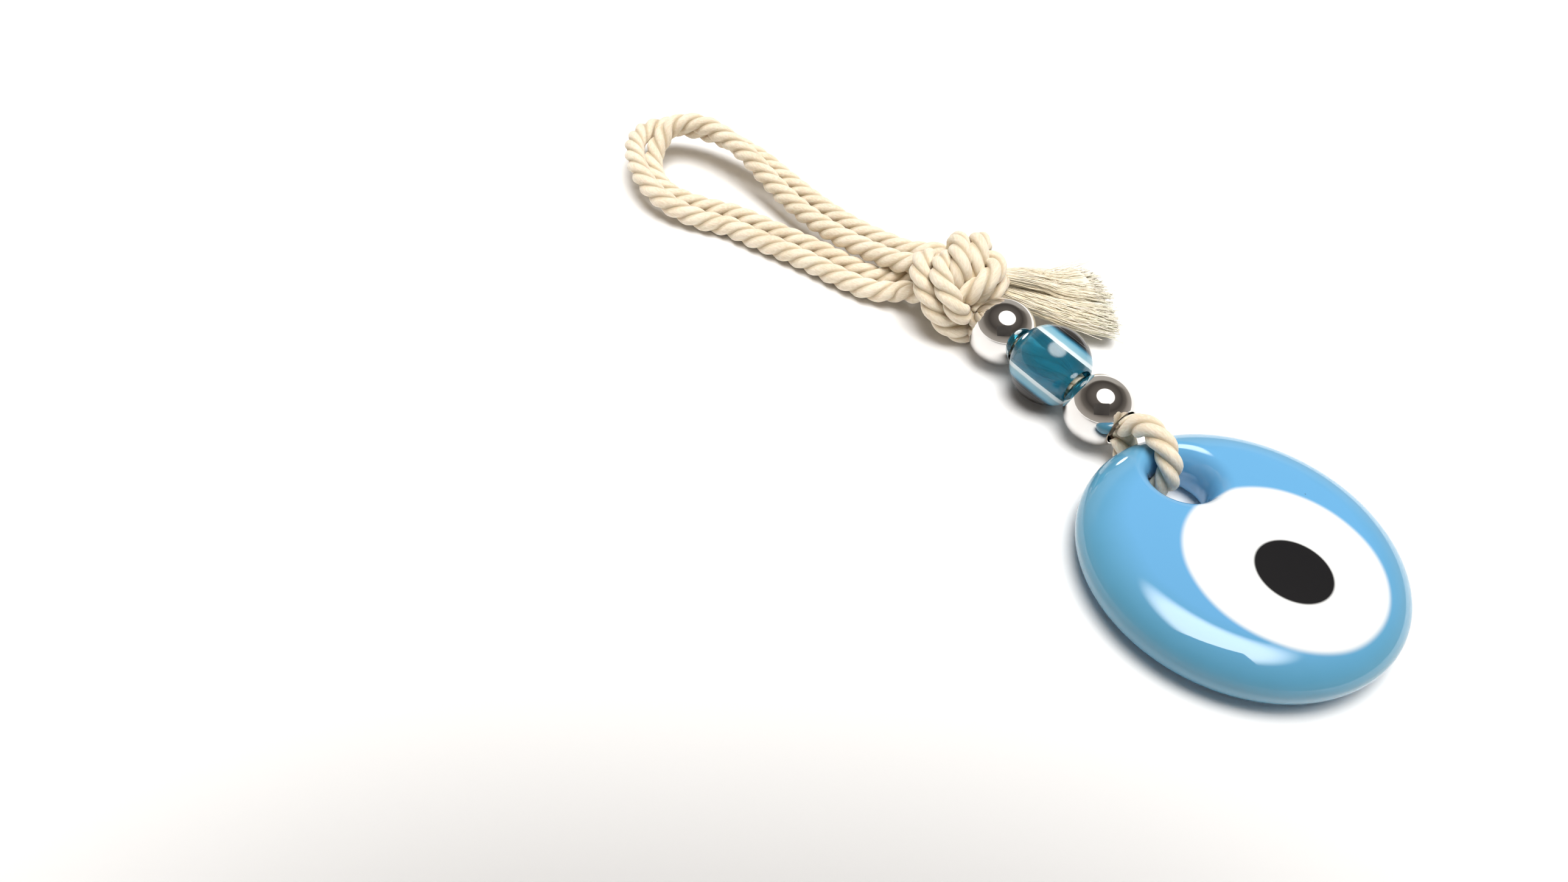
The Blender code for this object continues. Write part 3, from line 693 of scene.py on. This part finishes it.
def fray_tree():
    tree, given = new_tree("frayed_end", [
        ("Yarns", "Int"), ("Yarn Radius", "Float"), ("Wave", "Float"), ("Seed", "Int"),
        ("Finish", "Material")])
    kept = {label: add(tree, NAMED, {"Name": label}, data_type=kind)
            for label, kind in GUIDE_VALUES.items()}
    line = add(tree, "GeometryNodeMeshToCurve", given["Geometry"])
    so_far = add(tree, "GeometryNodeSplineParameter").outputs["Factor"]
    line = add(tree, STORED, {"Geometry": line, "Name": "to_tip", "Value": so_far},
               data_type="FLOAT")
    tip = add(tree, NAMED, {"Name": "to_tip"}, data_type="FLOAT")
    copies = add(tree, "GeometryNodeDuplicateElements",
                 {"Geometry": line, "Amount": given["Yarns"]}, domain="SPLINE")
    which = copies.outputs[1]
    lock = add(tree, MATHS, which, YARNS_PER_LOCK, operation="DIVIDE")
    lock = add(tree, MATHS, lock, operation="FLOOR")

    # the random numbers: one draw for each yarn, or for each lock of yarns
    drawn = {}
    for salt, (label, low, high, each) in enumerate((
            ("tone", 0.0, 1.0, which), ("own reach", 0.0, 1.0, which),
            ("own turn", 0.0, 2 * math.pi, which), ("stray", -0.1, 0.35, which),
            ("length", 0.84, 1.0, which), ("lock reach", 0.0, 1.0, lock),
            ("lock turn", 0.0, 2 * math.pi, lock)), 1):
        seed = add(tree, MATHS, given["Seed"], float(salt), operation="ADD")
        drawn[label] = add(tree, "FunctionNodeRandomValue",
                           {2: low, 3: high, "ID": each, "Seed": seed}, data_type="FLOAT")
    strands = add(tree, STORED, {"Geometry": copies, "Name": "own_tone",
                                 "Value": drawn["tone"]}, data_type="FLOAT")

    # the place in the fan, partly its own and partly its lock's, which gathers to the tip
    hold = add(tree, MATHS, tip, LOCK_HOLD, operation="MULTIPLY")
    squared = add(tree, MATHS, tip, tip, operation="MULTIPLY")
    spread = add(tree, MATHS, squared, drawn["stray"], 1.0, operation="MULTIPLY_ADD")
    reaches = [add(tree, MATHS, drawn[label], operation="SQRT")
               for label in ("own reach", "lock reach")]
    turns = [drawn["own turn"], drawn["lock turn"]]
    shifts = []
    for part, width, direction in (("COSINE", "wide", "side"), ("SINE", "high", "up")):
        own, shared = (
            add(tree, MATHS, add(tree, MATHS, turn, operation=part), reach,
                operation="MULTIPLY") for turn, reach in zip(turns, reaches))
        mixed = add(tree, "ShaderNodeMix", {0: hold, 2: own, 3: shared}, data_type="FLOAT")
        mixed = add(tree, MATHS, mixed, spread, operation="MULTIPLY")
        mixed = add(tree, MATHS, mixed, kept[width], operation="MULTIPLY")
        shifts.append(add(tree, VECTORS, kept[direction], {"Scale": mixed},
                          operation="SCALE"))
    offset = add(tree, VECTORS, *shifts, operation="ADD")

    # its own waves, which grow to the tip
    apart = add(tree, MATHS, which, 0.37, operation="MULTIPLY")
    apart = add(tree, "ShaderNodeCombineXYZ", 0.0, 0.0, apart)
    place = add(tree, "GeometryNodeInputPosition")
    place = add(tree, VECTORS, place, {"Scale": 170.0}, operation="SCALE")
    place = add(tree, VECTORS, place, apart, operation="ADD")
    waves = add(tree, "ShaderNodeTexNoise", {"Vector": place, "Scale": 1.0, "Detail": 1.0})
    sway = add(tree, VECTORS, waves.outputs["Color"], (0.5, 0.5, 0.5), operation="SUBTRACT")
    strength = add(tree, MATHS, tip, 1.5, 0.25, operation="MULTIPLY_ADD")
    strength = add(tree, MATHS, given["Wave"], strength, operation="MULTIPLY")
    sway = add(tree, VECTORS, sway, {"Scale": strength}, operation="SCALE")
    offset = add(tree, VECTORS, offset, sway, operation="ADD")
    moved = add(tree, "GeometryNodeSetPosition", strands, {"Offset": offset})
    cut = add(tree, "GeometryNodeTrimCurve", moved, {3: drawn["length"]}, mode="FACTOR")
    section = add(tree, "GeometryNodeCurvePrimitiveCircle",
                  {"Resolution": 3, "Radius": given["Yarn Radius"]})
    yarns = add(tree, "GeometryNodeCurveToMesh",
                {"Curve": cut, "Profile Curve": section, "Fill Caps": True})
    close_tree(tree, yarns, given["Finish"])
    return tree


FRAYED_END = fray_tree()

# %% The two frayed ends
TASSEL_ROUTES = {
    "tassel_end_a": [(0.0058, 0.0330, 0.0098, 0.0014, 0.0013),
                     (0.0088, 0.0310, 0.0096, 0.0021, 0.0015),
                     (0.0135, 0.0297, 0.0080, 0.0031, 0.0016),
                     (0.0200, 0.0282, 0.0052, 0.0044, 0.0016),
                     (0.0300, 0.0256, 0.0030, 0.0062, 0.0017)],
    "tassel_end_b": [(0.0052, 0.0320, 0.0076, 0.0016, 0.0014),
                     (0.0078, 0.0296, 0.0068, 0.0024, 0.0016),
                     (0.0118, 0.0262, 0.0056, 0.0034, 0.0017),
                     (0.0172, 0.0220, 0.0040, 0.0046, 0.0017),
                     (0.0242, 0.0166, 0.0028, 0.0056, 0.0016)],
}
YARNS_PER_END = 900
for seed, (name, stations) in enumerate(TASSEL_ROUTES.items()):
    route = smooth_route([(*on_bead_line(*s[:3]), *s[3:]) for s in stations], 0.0011)
    heading = Vector(route[-1, :3] - route[0, :3])
    guide = guide_line(name + "_line", route, Vector((0, 0, 1)).cross(heading).normalized())
    core = route[:int(0.86 * len(route))].copy()
    core[:, 3:5] *= (0.82 / CORD_RADIUS, 0.74 / CORD_RADIUS)
    inside = guide_line(name + "_core_line", core,
                        Vector((0, 0, 1)).cross(heading).normalized())
    mass = grow([inside], LAID_CORD, name + "_combed_mass",
                {"Cord Radius": CORD_RADIUS, "Lay Length": 0.09, "Strands": 7, "Turn": 0.3,
                 "Sides": 12, "Fullness": 0.8, "Finish": PALE_COTTON})
    settle(mass, "cord_line", "cotton_cord")
    yarns = grow([guide], FRAYED_END, name + "_yarns",
                 {"Yarns": YARNS_PER_END, "Yarn Radius": 0.00007, "Wave": 0.0012,
                  "Seed": seed * 10 + 3, "Finish": YARN_COTTON})
    settle(yarns, "cord_line", "cotton_cord", name)

# %% [markdown]
# ## The glass disc
#
# Blue glass is poured and pressed into a thick round with a hole, white glass is dropped
# on it and then black, and the fire rounds and polishes everything. The disc is made as
# sections round the hole, from its throat to the rim, and the two inlays are cut into it,
# so that each colour stays its own piece. Molten glass bleeds, so the colours cross over
# each edge: both pieces read the same distance from the inlay's middle.

# %% The disc's surface
DISC_RADIUS, DISC_HEIGHT, CROWN_DROP, RIM_LEVEL = 0.025, 0.0100, 0.0012, 0.0046
FACE_ROUNDING, BACK_ROUNDING, FUNNEL_WIDTH, HOLE_BACK_ROUNDING = 0.0065, 0.0045, 0.0032, 0.0028
HOLE_RADIUS, HOLE_Y = 0.0047, 0.0143
RELIEF_DEPTH, RELIEF_HALF_WIDTH, RELIEF_START, RELIEF_FULL = 0.00264, 0.0070, 0.0160, 0.0195
IRIS_CENTRE, IRIS_RADIUS, IRIS_FLOOR = (0.0005, -0.0063), 0.0150, 0.0068
PUPIL_CENTRE, PUPIL_RADIUS, PUPIL_FLOOR = (0.0004, -0.0079), 0.0058, 0.0082
SIDES = 192


def quarter_round(distance, width):
    """0 at an edge, rising along a quarter of an ellipse to 1 at the given width."""
    inward = min(max(distance / width, 0.0), 1.0)
    return math.sqrt(1.0 - (1.0 - inward) ** 2)


def face_height(x, y):
    radius = math.hypot(x, y)
    crown = DISC_HEIGHT - CROWN_DROP * (radius / DISC_RADIUS) ** 2
    from_rim = quarter_round(DISC_RADIUS - radius, FACE_ROUNDING)
    from_hole = quarter_round(math.hypot(x, y - HOLE_Y) - HOLE_RADIUS, FUNNEL_WIDTH)
    return RIM_LEVEL + (crown - RIM_LEVEL) * from_rim * from_hole


def back_height(x, y):
    across = min(abs(x) / RELIEF_HALF_WIDTH, 1.0)
    along = min(max((y - RELIEF_START) / (RELIEF_FULL - RELIEF_START), 0.0), 1.0)
    hollow = math.cos(math.pi / 2 * across) ** 2 * along * along * (3 - 2 * along)
    from_rim = quarter_round(DISC_RADIUS - math.hypot(x, y), BACK_ROUNDING)
    from_hole = quarter_round(math.hypot(x, y - HOLE_Y) - HOLE_RADIUS, HOLE_BACK_ROUNDING)
    return RIM_LEVEL - (RIM_LEVEL - RELIEF_DEPTH * hollow) * from_rim * from_hole


def bridge_rings(bm, rings, closed=False):
    """Faces between each ring of vertices and the next."""
    pairs = list(zip(rings, rings[1:])) + ([(rings[-1], rings[0])] if closed else [])
    for one, two in pairs:
        for i in range(len(one)):
            j = (i + 1) % len(one)
            bm.faces.new((one[i], one[j], two[j], two[i]))


def disc_mesh(face_steps=72, back_steps=36):
    bm = bmesh.new()
    rings = []
    for s in range(SIDES):
        dx, dy = math.cos(2 * math.pi * s / SIDES), math.sin(2 * math.pi * s / SIDES)
        inward = -HOLE_Y * dy
        reach = inward + math.sqrt(inward ** 2 + DISC_RADIUS ** 2 - HOLE_Y ** 2)
        ring = []
        for steps, height_at, outward in ((face_steps, face_height, True),
                                          (back_steps, back_height, False)):
            for k in range(steps):
                share = (1 - math.cos(math.pi * k / steps)) / 2
                t = HOLE_RADIUS + (reach - HOLE_RADIUS) * (share if outward else 1 - share)
                x, y = t * dx, HOLE_Y + t * dy
                ring.append(bm.verts.new((x, y, height_at(x, y))))
        rings.append(ring)
    bridge_rings(bm, rings, closed=True)
    return bm_to_mesh(bm, "glass")


def inlay_mesh(centre, radius, floor, crown=0.0, rings=36):
    """Flat underneath, and on top the disc's own face with a slight crown of its own."""
    bm = bmesh.new()
    cx, cy = centre
    tops = []
    for r in range(1, rings + 1):
        reach = radius * r / rings
        swell = crown * (1 - (r / rings) ** 4)
        ring = [(cx + reach * math.cos(2 * math.pi * s / SIDES),
                 cy + reach * math.sin(2 * math.pi * s / SIDES)) for s in range(SIDES)]
        tops.append([bm.verts.new((x, y, face_height(x, y) + swell)) for x, y in ring])
    low = [bm.verts.new((v.co.x, v.co.y, floor)) for v in tops[-1]]
    bridge_rings(bm, tops + [low])
    middle = bm.verts.new((cx, cy, face_height(cx, cy) + crown))
    for s in range(SIDES):
        bm.faces.new((middle, tops[0][s], tops[0][(s + 1) % SIDES]))
    bm.faces.new(low)
    return bm_to_mesh(bm, "inlay")


def seat_cut(piece, centre, radius, floor):
    """Cuts an inlay's round seat into a piece."""
    bm = bmesh.new()
    bmesh.ops.create_cone(bm, cap_ends=True, segments=SIDES, radius1=radius, radius2=radius,
                          depth=0.02, matrix=Matrix.Translation((*centre, floor + 0.01)))
    cutter = piece_from(bm_to_mesh(bm, "seat"), "seat")
    cut = piece.modifiers.new("seat", "BOOLEAN")
    cut.operation = "DIFFERENCE"
    cut.object = cutter
    graph = bpy.context.evaluated_depsgraph_get()
    mesh = bpy.data.meshes.new_from_object(piece.evaluated_get(graph), depsgraph=graph)
    piece.modifiers.remove(cut)
    piece.data = mesh
    mesh.shade_smooth()
    mesh.set_sharp_from_angle(angle=math.radians(40.0))
    bpy.data.objects.remove(cutter)


# %% [markdown]
# ## Opaque glass
#
# Pressed soda glass, fire-polished: the colour sits in the glass, the surface is smooth
# and glossy with hardly any texture, only slow ripples from pressing and now and then a
# speck. The index of refraction is that of soda glass, 1.52.

# %% Glass finishes
BLUE, BLUE_RIM, WHITE, BLACK = "68A9D8", "5797B4", "EFF1F2", "1C1C1E"


def beyond_edge(tree, centre, radius, softness, wobble=0.0):
    """0 inside an inlay and 1 outside it, with a soft edge; wobble makes it hand-poured."""
    place = add(tree, "ShaderNodeTexCoord").outputs["Object"]
    flat = add(tree, VECTORS, place, (1.0, 1.0, 0.0), operation="MULTIPLY")
    from_centre = add(tree, VECTORS, flat, (*centre, 0.0), operation="SUBTRACT")
    distance = add(tree, VECTORS, from_centre, operation="LENGTH")
    if wobble:
        waves = add(tree, "ShaderNodeTexNoise", {"Vector": place, "Scale": 70.0,
                                                 "Detail": 1.0})
        either_way = add(tree, MATHS, waves, 0.5, operation="SUBTRACT")
        distance = add(tree, MATHS, either_way, 2 * wobble, distance,
                       operation="MULTIPLY_ADD")
    return add(tree, "ShaderNodeMapRange",
               {"Value": distance, "From Min": radius - softness, "From Max": radius + softness},
               interpolation_type="SMOOTHSTEP")


def glass_finish(name, roughness):
    """Opaque glass: every piece of the disc reads the same places for the colours."""
    material, tree, shader = finish_named(name, roughness, IOR=1.52, Coat_Weight=0.35,
                                          Coat_Roughness=0.02)
    place = add(tree, "ShaderNodeTexCoord").outputs["Object"]
    cloud = add(tree, "ShaderNodeTexNoise", {"Vector": place, "Scale": 120.0})
    flat = add(tree, VECTORS, place, (1.0, 1.0, 0.0), operation="MULTIPLY")
    from_centre = add(tree, VECTORS, flat, operation="LENGTH")
    uneven = add(tree, MATHS, cloud, 0.002, from_centre, operation="MULTIPLY_ADD")
    # The blue turns darker and greyer towards the rim, along an uneven line.
    darker_to_rim = add(tree, "ShaderNodeMapRange", {"Value": uneven, "From Min": 0.019,
                                                "From Max": 0.0262})
    blues = add(tree, "ShaderNodeMix", {0: darker_to_rim, 6: linear(BLUE), 7: linear(BLUE_RIM)},
                data_type="RGBA")
    to_blue = beyond_edge(tree, IRIS_CENTRE, IRIS_RADIUS, 0.00055, 0.00025)
    outer = add(tree, "ShaderNodeMix", {0: to_blue, 6: linear(WHITE), 7: blues},
                data_type="RGBA")
    to_white = beyond_edge(tree, PUPIL_CENTRE, PUPIL_RADIUS, 0.00022)
    colour = add(tree, "ShaderNodeMix", {0: to_white, 6: linear(BLACK), 7: outer},
                 data_type="RGBA")
    cells = add(tree, "ShaderNodeTexVoronoi", {"Vector": place, "Scale": 210.0})
    chance = add(tree, "ShaderNodeSeparateColor", cells.outputs["Color"])
    near = add(tree, MATHS, cells.outputs["Distance"], 0.035, operation="LESS_THAN")
    rare = add(tree, MATHS, chance, 0.86, operation="GREATER_THAN")
    speck = add(tree, MATHS, near, rare, operation="MULTIPLY")
    speck = add(tree, MATHS, speck, 0.7, operation="MULTIPLY")
    dotted = add(tree, "ShaderNodeMix", {0: speck, 6: colour, 7: linear("4A5A66")},
                 data_type="RGBA")
    tree.links.new(dotted.outputs[2], shader.inputs["Base Color"])
    ripple = add(tree, "ShaderNodeTexNoise", {"Vector": place, "Scale": 150.0, "Detail": 0.0})
    bump = add(tree, "ShaderNodeBump", {"Height": ripple, "Strength": 0.25,
                                        "Distance": 0.0001})
    tree.links.new(bump.outputs[0], shader.inputs["Normal"])
    return material


# %% The disc and its two inlays
disc = piece_from(disc_mesh(), "blue_glass_disc", glass_finish("blue_opaque_glass", 0.05))
seat_cut(disc, IRIS_CENTRE, IRIS_RADIUS, IRIS_FLOOR)
iris = piece_from(inlay_mesh(IRIS_CENTRE, IRIS_RADIUS, IRIS_FLOOR), "white_glass_iris",
                  glass_finish("white_opaque_glass", 0.05))
seat_cut(iris, PUPIL_CENTRE, PUPIL_RADIUS, PUPIL_FLOOR)
pupil = piece_from(inlay_mesh(PUPIL_CENTRE, PUPIL_RADIUS, PUPIL_FLOOR, crown=0.00008, rings=16),
                   "black_glass_pupil", glass_finish("black_opaque_glass", 0.12))
settle(disc, "disc", "blue_glass", "glass_disc")
settle(iris, "disc", "white_glass", "iris_white")
settle(pupil, "disc", "black_glass", "pupil_black")

# %% [markdown]
# ## Silver beads
#
# A hollow ball with a wide bore and a mirror-bright plating. Its profile is an arc that
# turns in at each mouth with a small lip and then runs straight through the bore, and it
# is spun about the bead line. Only fine polishing marks break the mirror.


# %% Bead shape
BORE_RADIUS = 0.0031
LIP = 0.00022


def bead_mesh(centre, radius, segments=128, arc_steps=72, lip_steps=5):
    """A bored ball on the bead line, spun about its bore, with rounded mouths."""
    first = math.asin((BORE_RADIUS + LIP) / radius)
    mouth = radius * math.cos(first)
    half = [(radius * math.sin(a), radius * math.cos(a))
            for a in np.linspace(math.pi / 2, first, arc_steps // 2)]
    half += [(BORE_RADIUS + LIP * (1 - math.sin(b)), mouth - LIP * (1 - math.cos(b)))
             for b in np.linspace(0.25, math.pi / 2, lip_steps)]
    profile = [(r, -y) for r, y in reversed(half)] + half[1:]
    bm = bmesh.new()
    rings = []
    for s in range(segments):
        angle = 2 * math.pi * s / segments
        rings.append([bm.verts.new(Vector(centre) + BEAD_LINE_TURN @ Vector(
            (r * math.cos(angle), y, r * math.sin(angle)))) for r, y in profile])
    bridge_rings(bm, rings, closed=True)
    return bm_to_mesh(bm, "bead")


def silver_finish():
    material, tree, shader = finish_named("bright_silver_plate", 0.04, Metallic=1.0)
    place = add(tree, "ShaderNodeTexCoord").outputs["Object"]
    cloud = add(tree, "ShaderNodeTexNoise", {"Vector": place, "Scale": 400.0, "Detail": 3.0})
    tone = add(tree, "ShaderNodeMix", {0: cloud, 6: linear("E3E1DF"), 7: linear("D9D6D3")},
               data_type="RGBA")
    tree.links.new(tone.outputs[2], shader.inputs["Base Color"])
    haze = add(tree, "ShaderNodeMapRange", {"Value": cloud, "From Min": 0.35,
                                            "From Max": 0.75, "To Min": 0.025, "To Max": 0.07})
    tree.links.new(haze.outputs[0], shader.inputs["Roughness"])
    return material


# %% The two silver beads
SILVER = silver_finish()
for name, body in (("lower_silver_bead", "lower_bead"), ("upper_silver_bead", "upper_bead")):
    low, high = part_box(name)
    ball = piece_from(bead_mesh((low + high) / 2, (high.z - low.z) / 2), name + "_ball",
                      SILVER, 60.0)
    settle(ball, body, "silver_plate", name)

# %% [markdown]
# ## The eye bead
#
# The bead is cast in resin, layer on layer, and then turned to a ball, so its eye is a
# stack of slices: see-through teal in the middle, a thin white layer, a cloudy pale blue
# one and a black tip, the same on both sides. Each slice is its own closed piece. The
# layers were poured before the last one had set, so their colours run into each other.

# %% Slices of the ball
EYE_RADIUS = 0.0070
EYE_CENTRE = on_bead_line(0.0, 0.0117, EYE_RADIUS)
EYE_TURN = BEAD_LINE_TURN @ Matrix.Rotation(math.radians(42.7), 3, "Y")
WHITE_START, PALE_START, BLACK_START = 0.0035, 0.0041, 0.0059


def slice_mesh(low, high, bands, side=1, segments=128):
    """The part of the ball between two planes across its pole."""
    bm = bmesh.new()
    rings = []
    for angle in np.linspace(math.asin(low / EYE_RADIUS), math.asin(min(high / EYE_RADIUS, 1.0)),
                             bands + 1):
        radius, z = EYE_RADIUS * math.cos(angle), EYE_RADIUS * math.sin(angle) * side
        if radius < 1e-6:
            tip = bm.verts.new(EYE_CENTRE + EYE_TURN @ Vector((0.0, 0.0, z)))
            for s in range(segments):
                bm.faces.new((rings[-1][s], rings[-1][(s + 1) % segments], tip))
            break
        rings.append([bm.verts.new(EYE_CENTRE + EYE_TURN @ Vector((
            radius * math.cos(2 * math.pi * s / segments),
            radius * math.sin(2 * math.pi * s / segments), z))) for s in range(segments)])
    else:
        bm.faces.new(rings[-1])
    bridge_rings(bm, rings)
    bm.faces.new(rings[0])
    return bm_to_mesh(bm, "slice")


def resin_finish(name, stops, roughness=0.06, **inputs):
    """Polished cast resin whose colour runs with the distance from the bead's middle."""
    material, tree, shader = finish_named(name, roughness, IOR=1.54, **inputs)
    place = add(tree, "ShaderNodeTexCoord").outputs["Object"]
    from_middle = add(tree, VECTORS, place, tuple(EYE_CENTRE), operation="SUBTRACT")
    pole = tuple(EYE_TURN @ Vector((0.0, 0.0, 1.0)))
    depth = add(tree, VECTORS, from_middle, pole, operation="DOT_PRODUCT")
    depth = add(tree, MATHS, depth, operation="ABSOLUTE")
    swirl = add(tree, "ShaderNodeTexNoise", {"Vector": place, "Scale": 350.0})
    either_way = add(tree, MATHS, swirl, 0.5, operation="SUBTRACT")
    depth = add(tree, MATHS, either_way, 0.00018, depth, operation="MULTIPLY_ADD")
    share = add(tree, MATHS, depth, EYE_RADIUS, operation="DIVIDE")
    ramp = add(tree, "ShaderNodeValToRGB", share)
    for _ in range(len(stops) - 2):
        ramp.color_ramp.elements.new(0.5)
    for element, (place_mm, colour) in zip(ramp.color_ramp.elements, stops):
        element.position = place_mm * MM / EYE_RADIUS
        element.color = linear(colour)
    tree.links.new(ramp.outputs["Color"], shader.inputs["Base Color"])
    return material


TEAL = resin_finish("teal_clear_resin", [(0.0, "45B4D2"), (3.1, "3AA9CB"), (3.5, "7CC4D8")],
                    0.03, Transmission_Weight=0.8)
LAYERS = resin_finish("milky_layer_resin", [
    (3.40, "5FB0C8"), (3.58, "DCE9EF"), (4.02, "D3E2E9"), (4.22, "8DB6C6"), (4.9, "77ACC2"),
    (5.15, "4E8CA8"), (5.4, "234C60"), (5.65, "14181C"), (6.2, "15110F")], 0.05,
    Specular_IOR_Level=0.3)

# %% The seven slices
core = piece_from(slice_mesh(-WHITE_START, WHITE_START, 40), "eye_bead_core_resin", TEAL)
bore_bm = bmesh.new()
bmesh.ops.create_cone(bore_bm, cap_ends=True, segments=96, radius1=BORE_RADIUS,
                      radius2=BORE_RADIUS, depth=0.03)
bore_place = (Matrix.Translation(EYE_CENTRE) @ BEAD_LINE_TURN.to_4x4()
              @ Matrix.Rotation(math.pi / 2, 4, "X"))
bmesh.ops.transform(bore_bm, matrix=bore_place, verts=bore_bm.verts)
borer = piece_from(bm_to_mesh(bore_bm, "borer"), "borer")
bored = core.modifiers.new("bore", "BOOLEAN")
bored.operation = "DIFFERENCE"
bored.object = borer
graph = bpy.context.evaluated_depsgraph_get()
core_mesh = bpy.data.meshes.new_from_object(core.evaluated_get(graph), depsgraph=graph)
core.modifiers.remove(bored)
core.data = core_mesh
core_mesh.shade_smooth()
core_mesh.set_sharp_from_angle(angle=math.radians(40.0))
bpy.data.objects.remove(borer)
settle(core, "eye_bead", "teal_resin", "eye_bead_core")
for side, sign in (("a", 1), ("b", -1)):
    for layer, slot, low, high, bands in (
            ("white_layer", "white_resin", WHITE_START, PALE_START, 6),
            ("pale_layer", "pale_blue_resin", PALE_START, BLACK_START, 18),
            ("pupil", "black_resin", BLACK_START, EYE_RADIUS, 20)):
        cut = piece_from(slice_mesh(low, high, bands, sign), f"eye_bead_{layer}_{side}_resin",
                         LAYERS)
        settle(cut, "eye_bead", slot, f"eye_bead_{layer}_{side}")
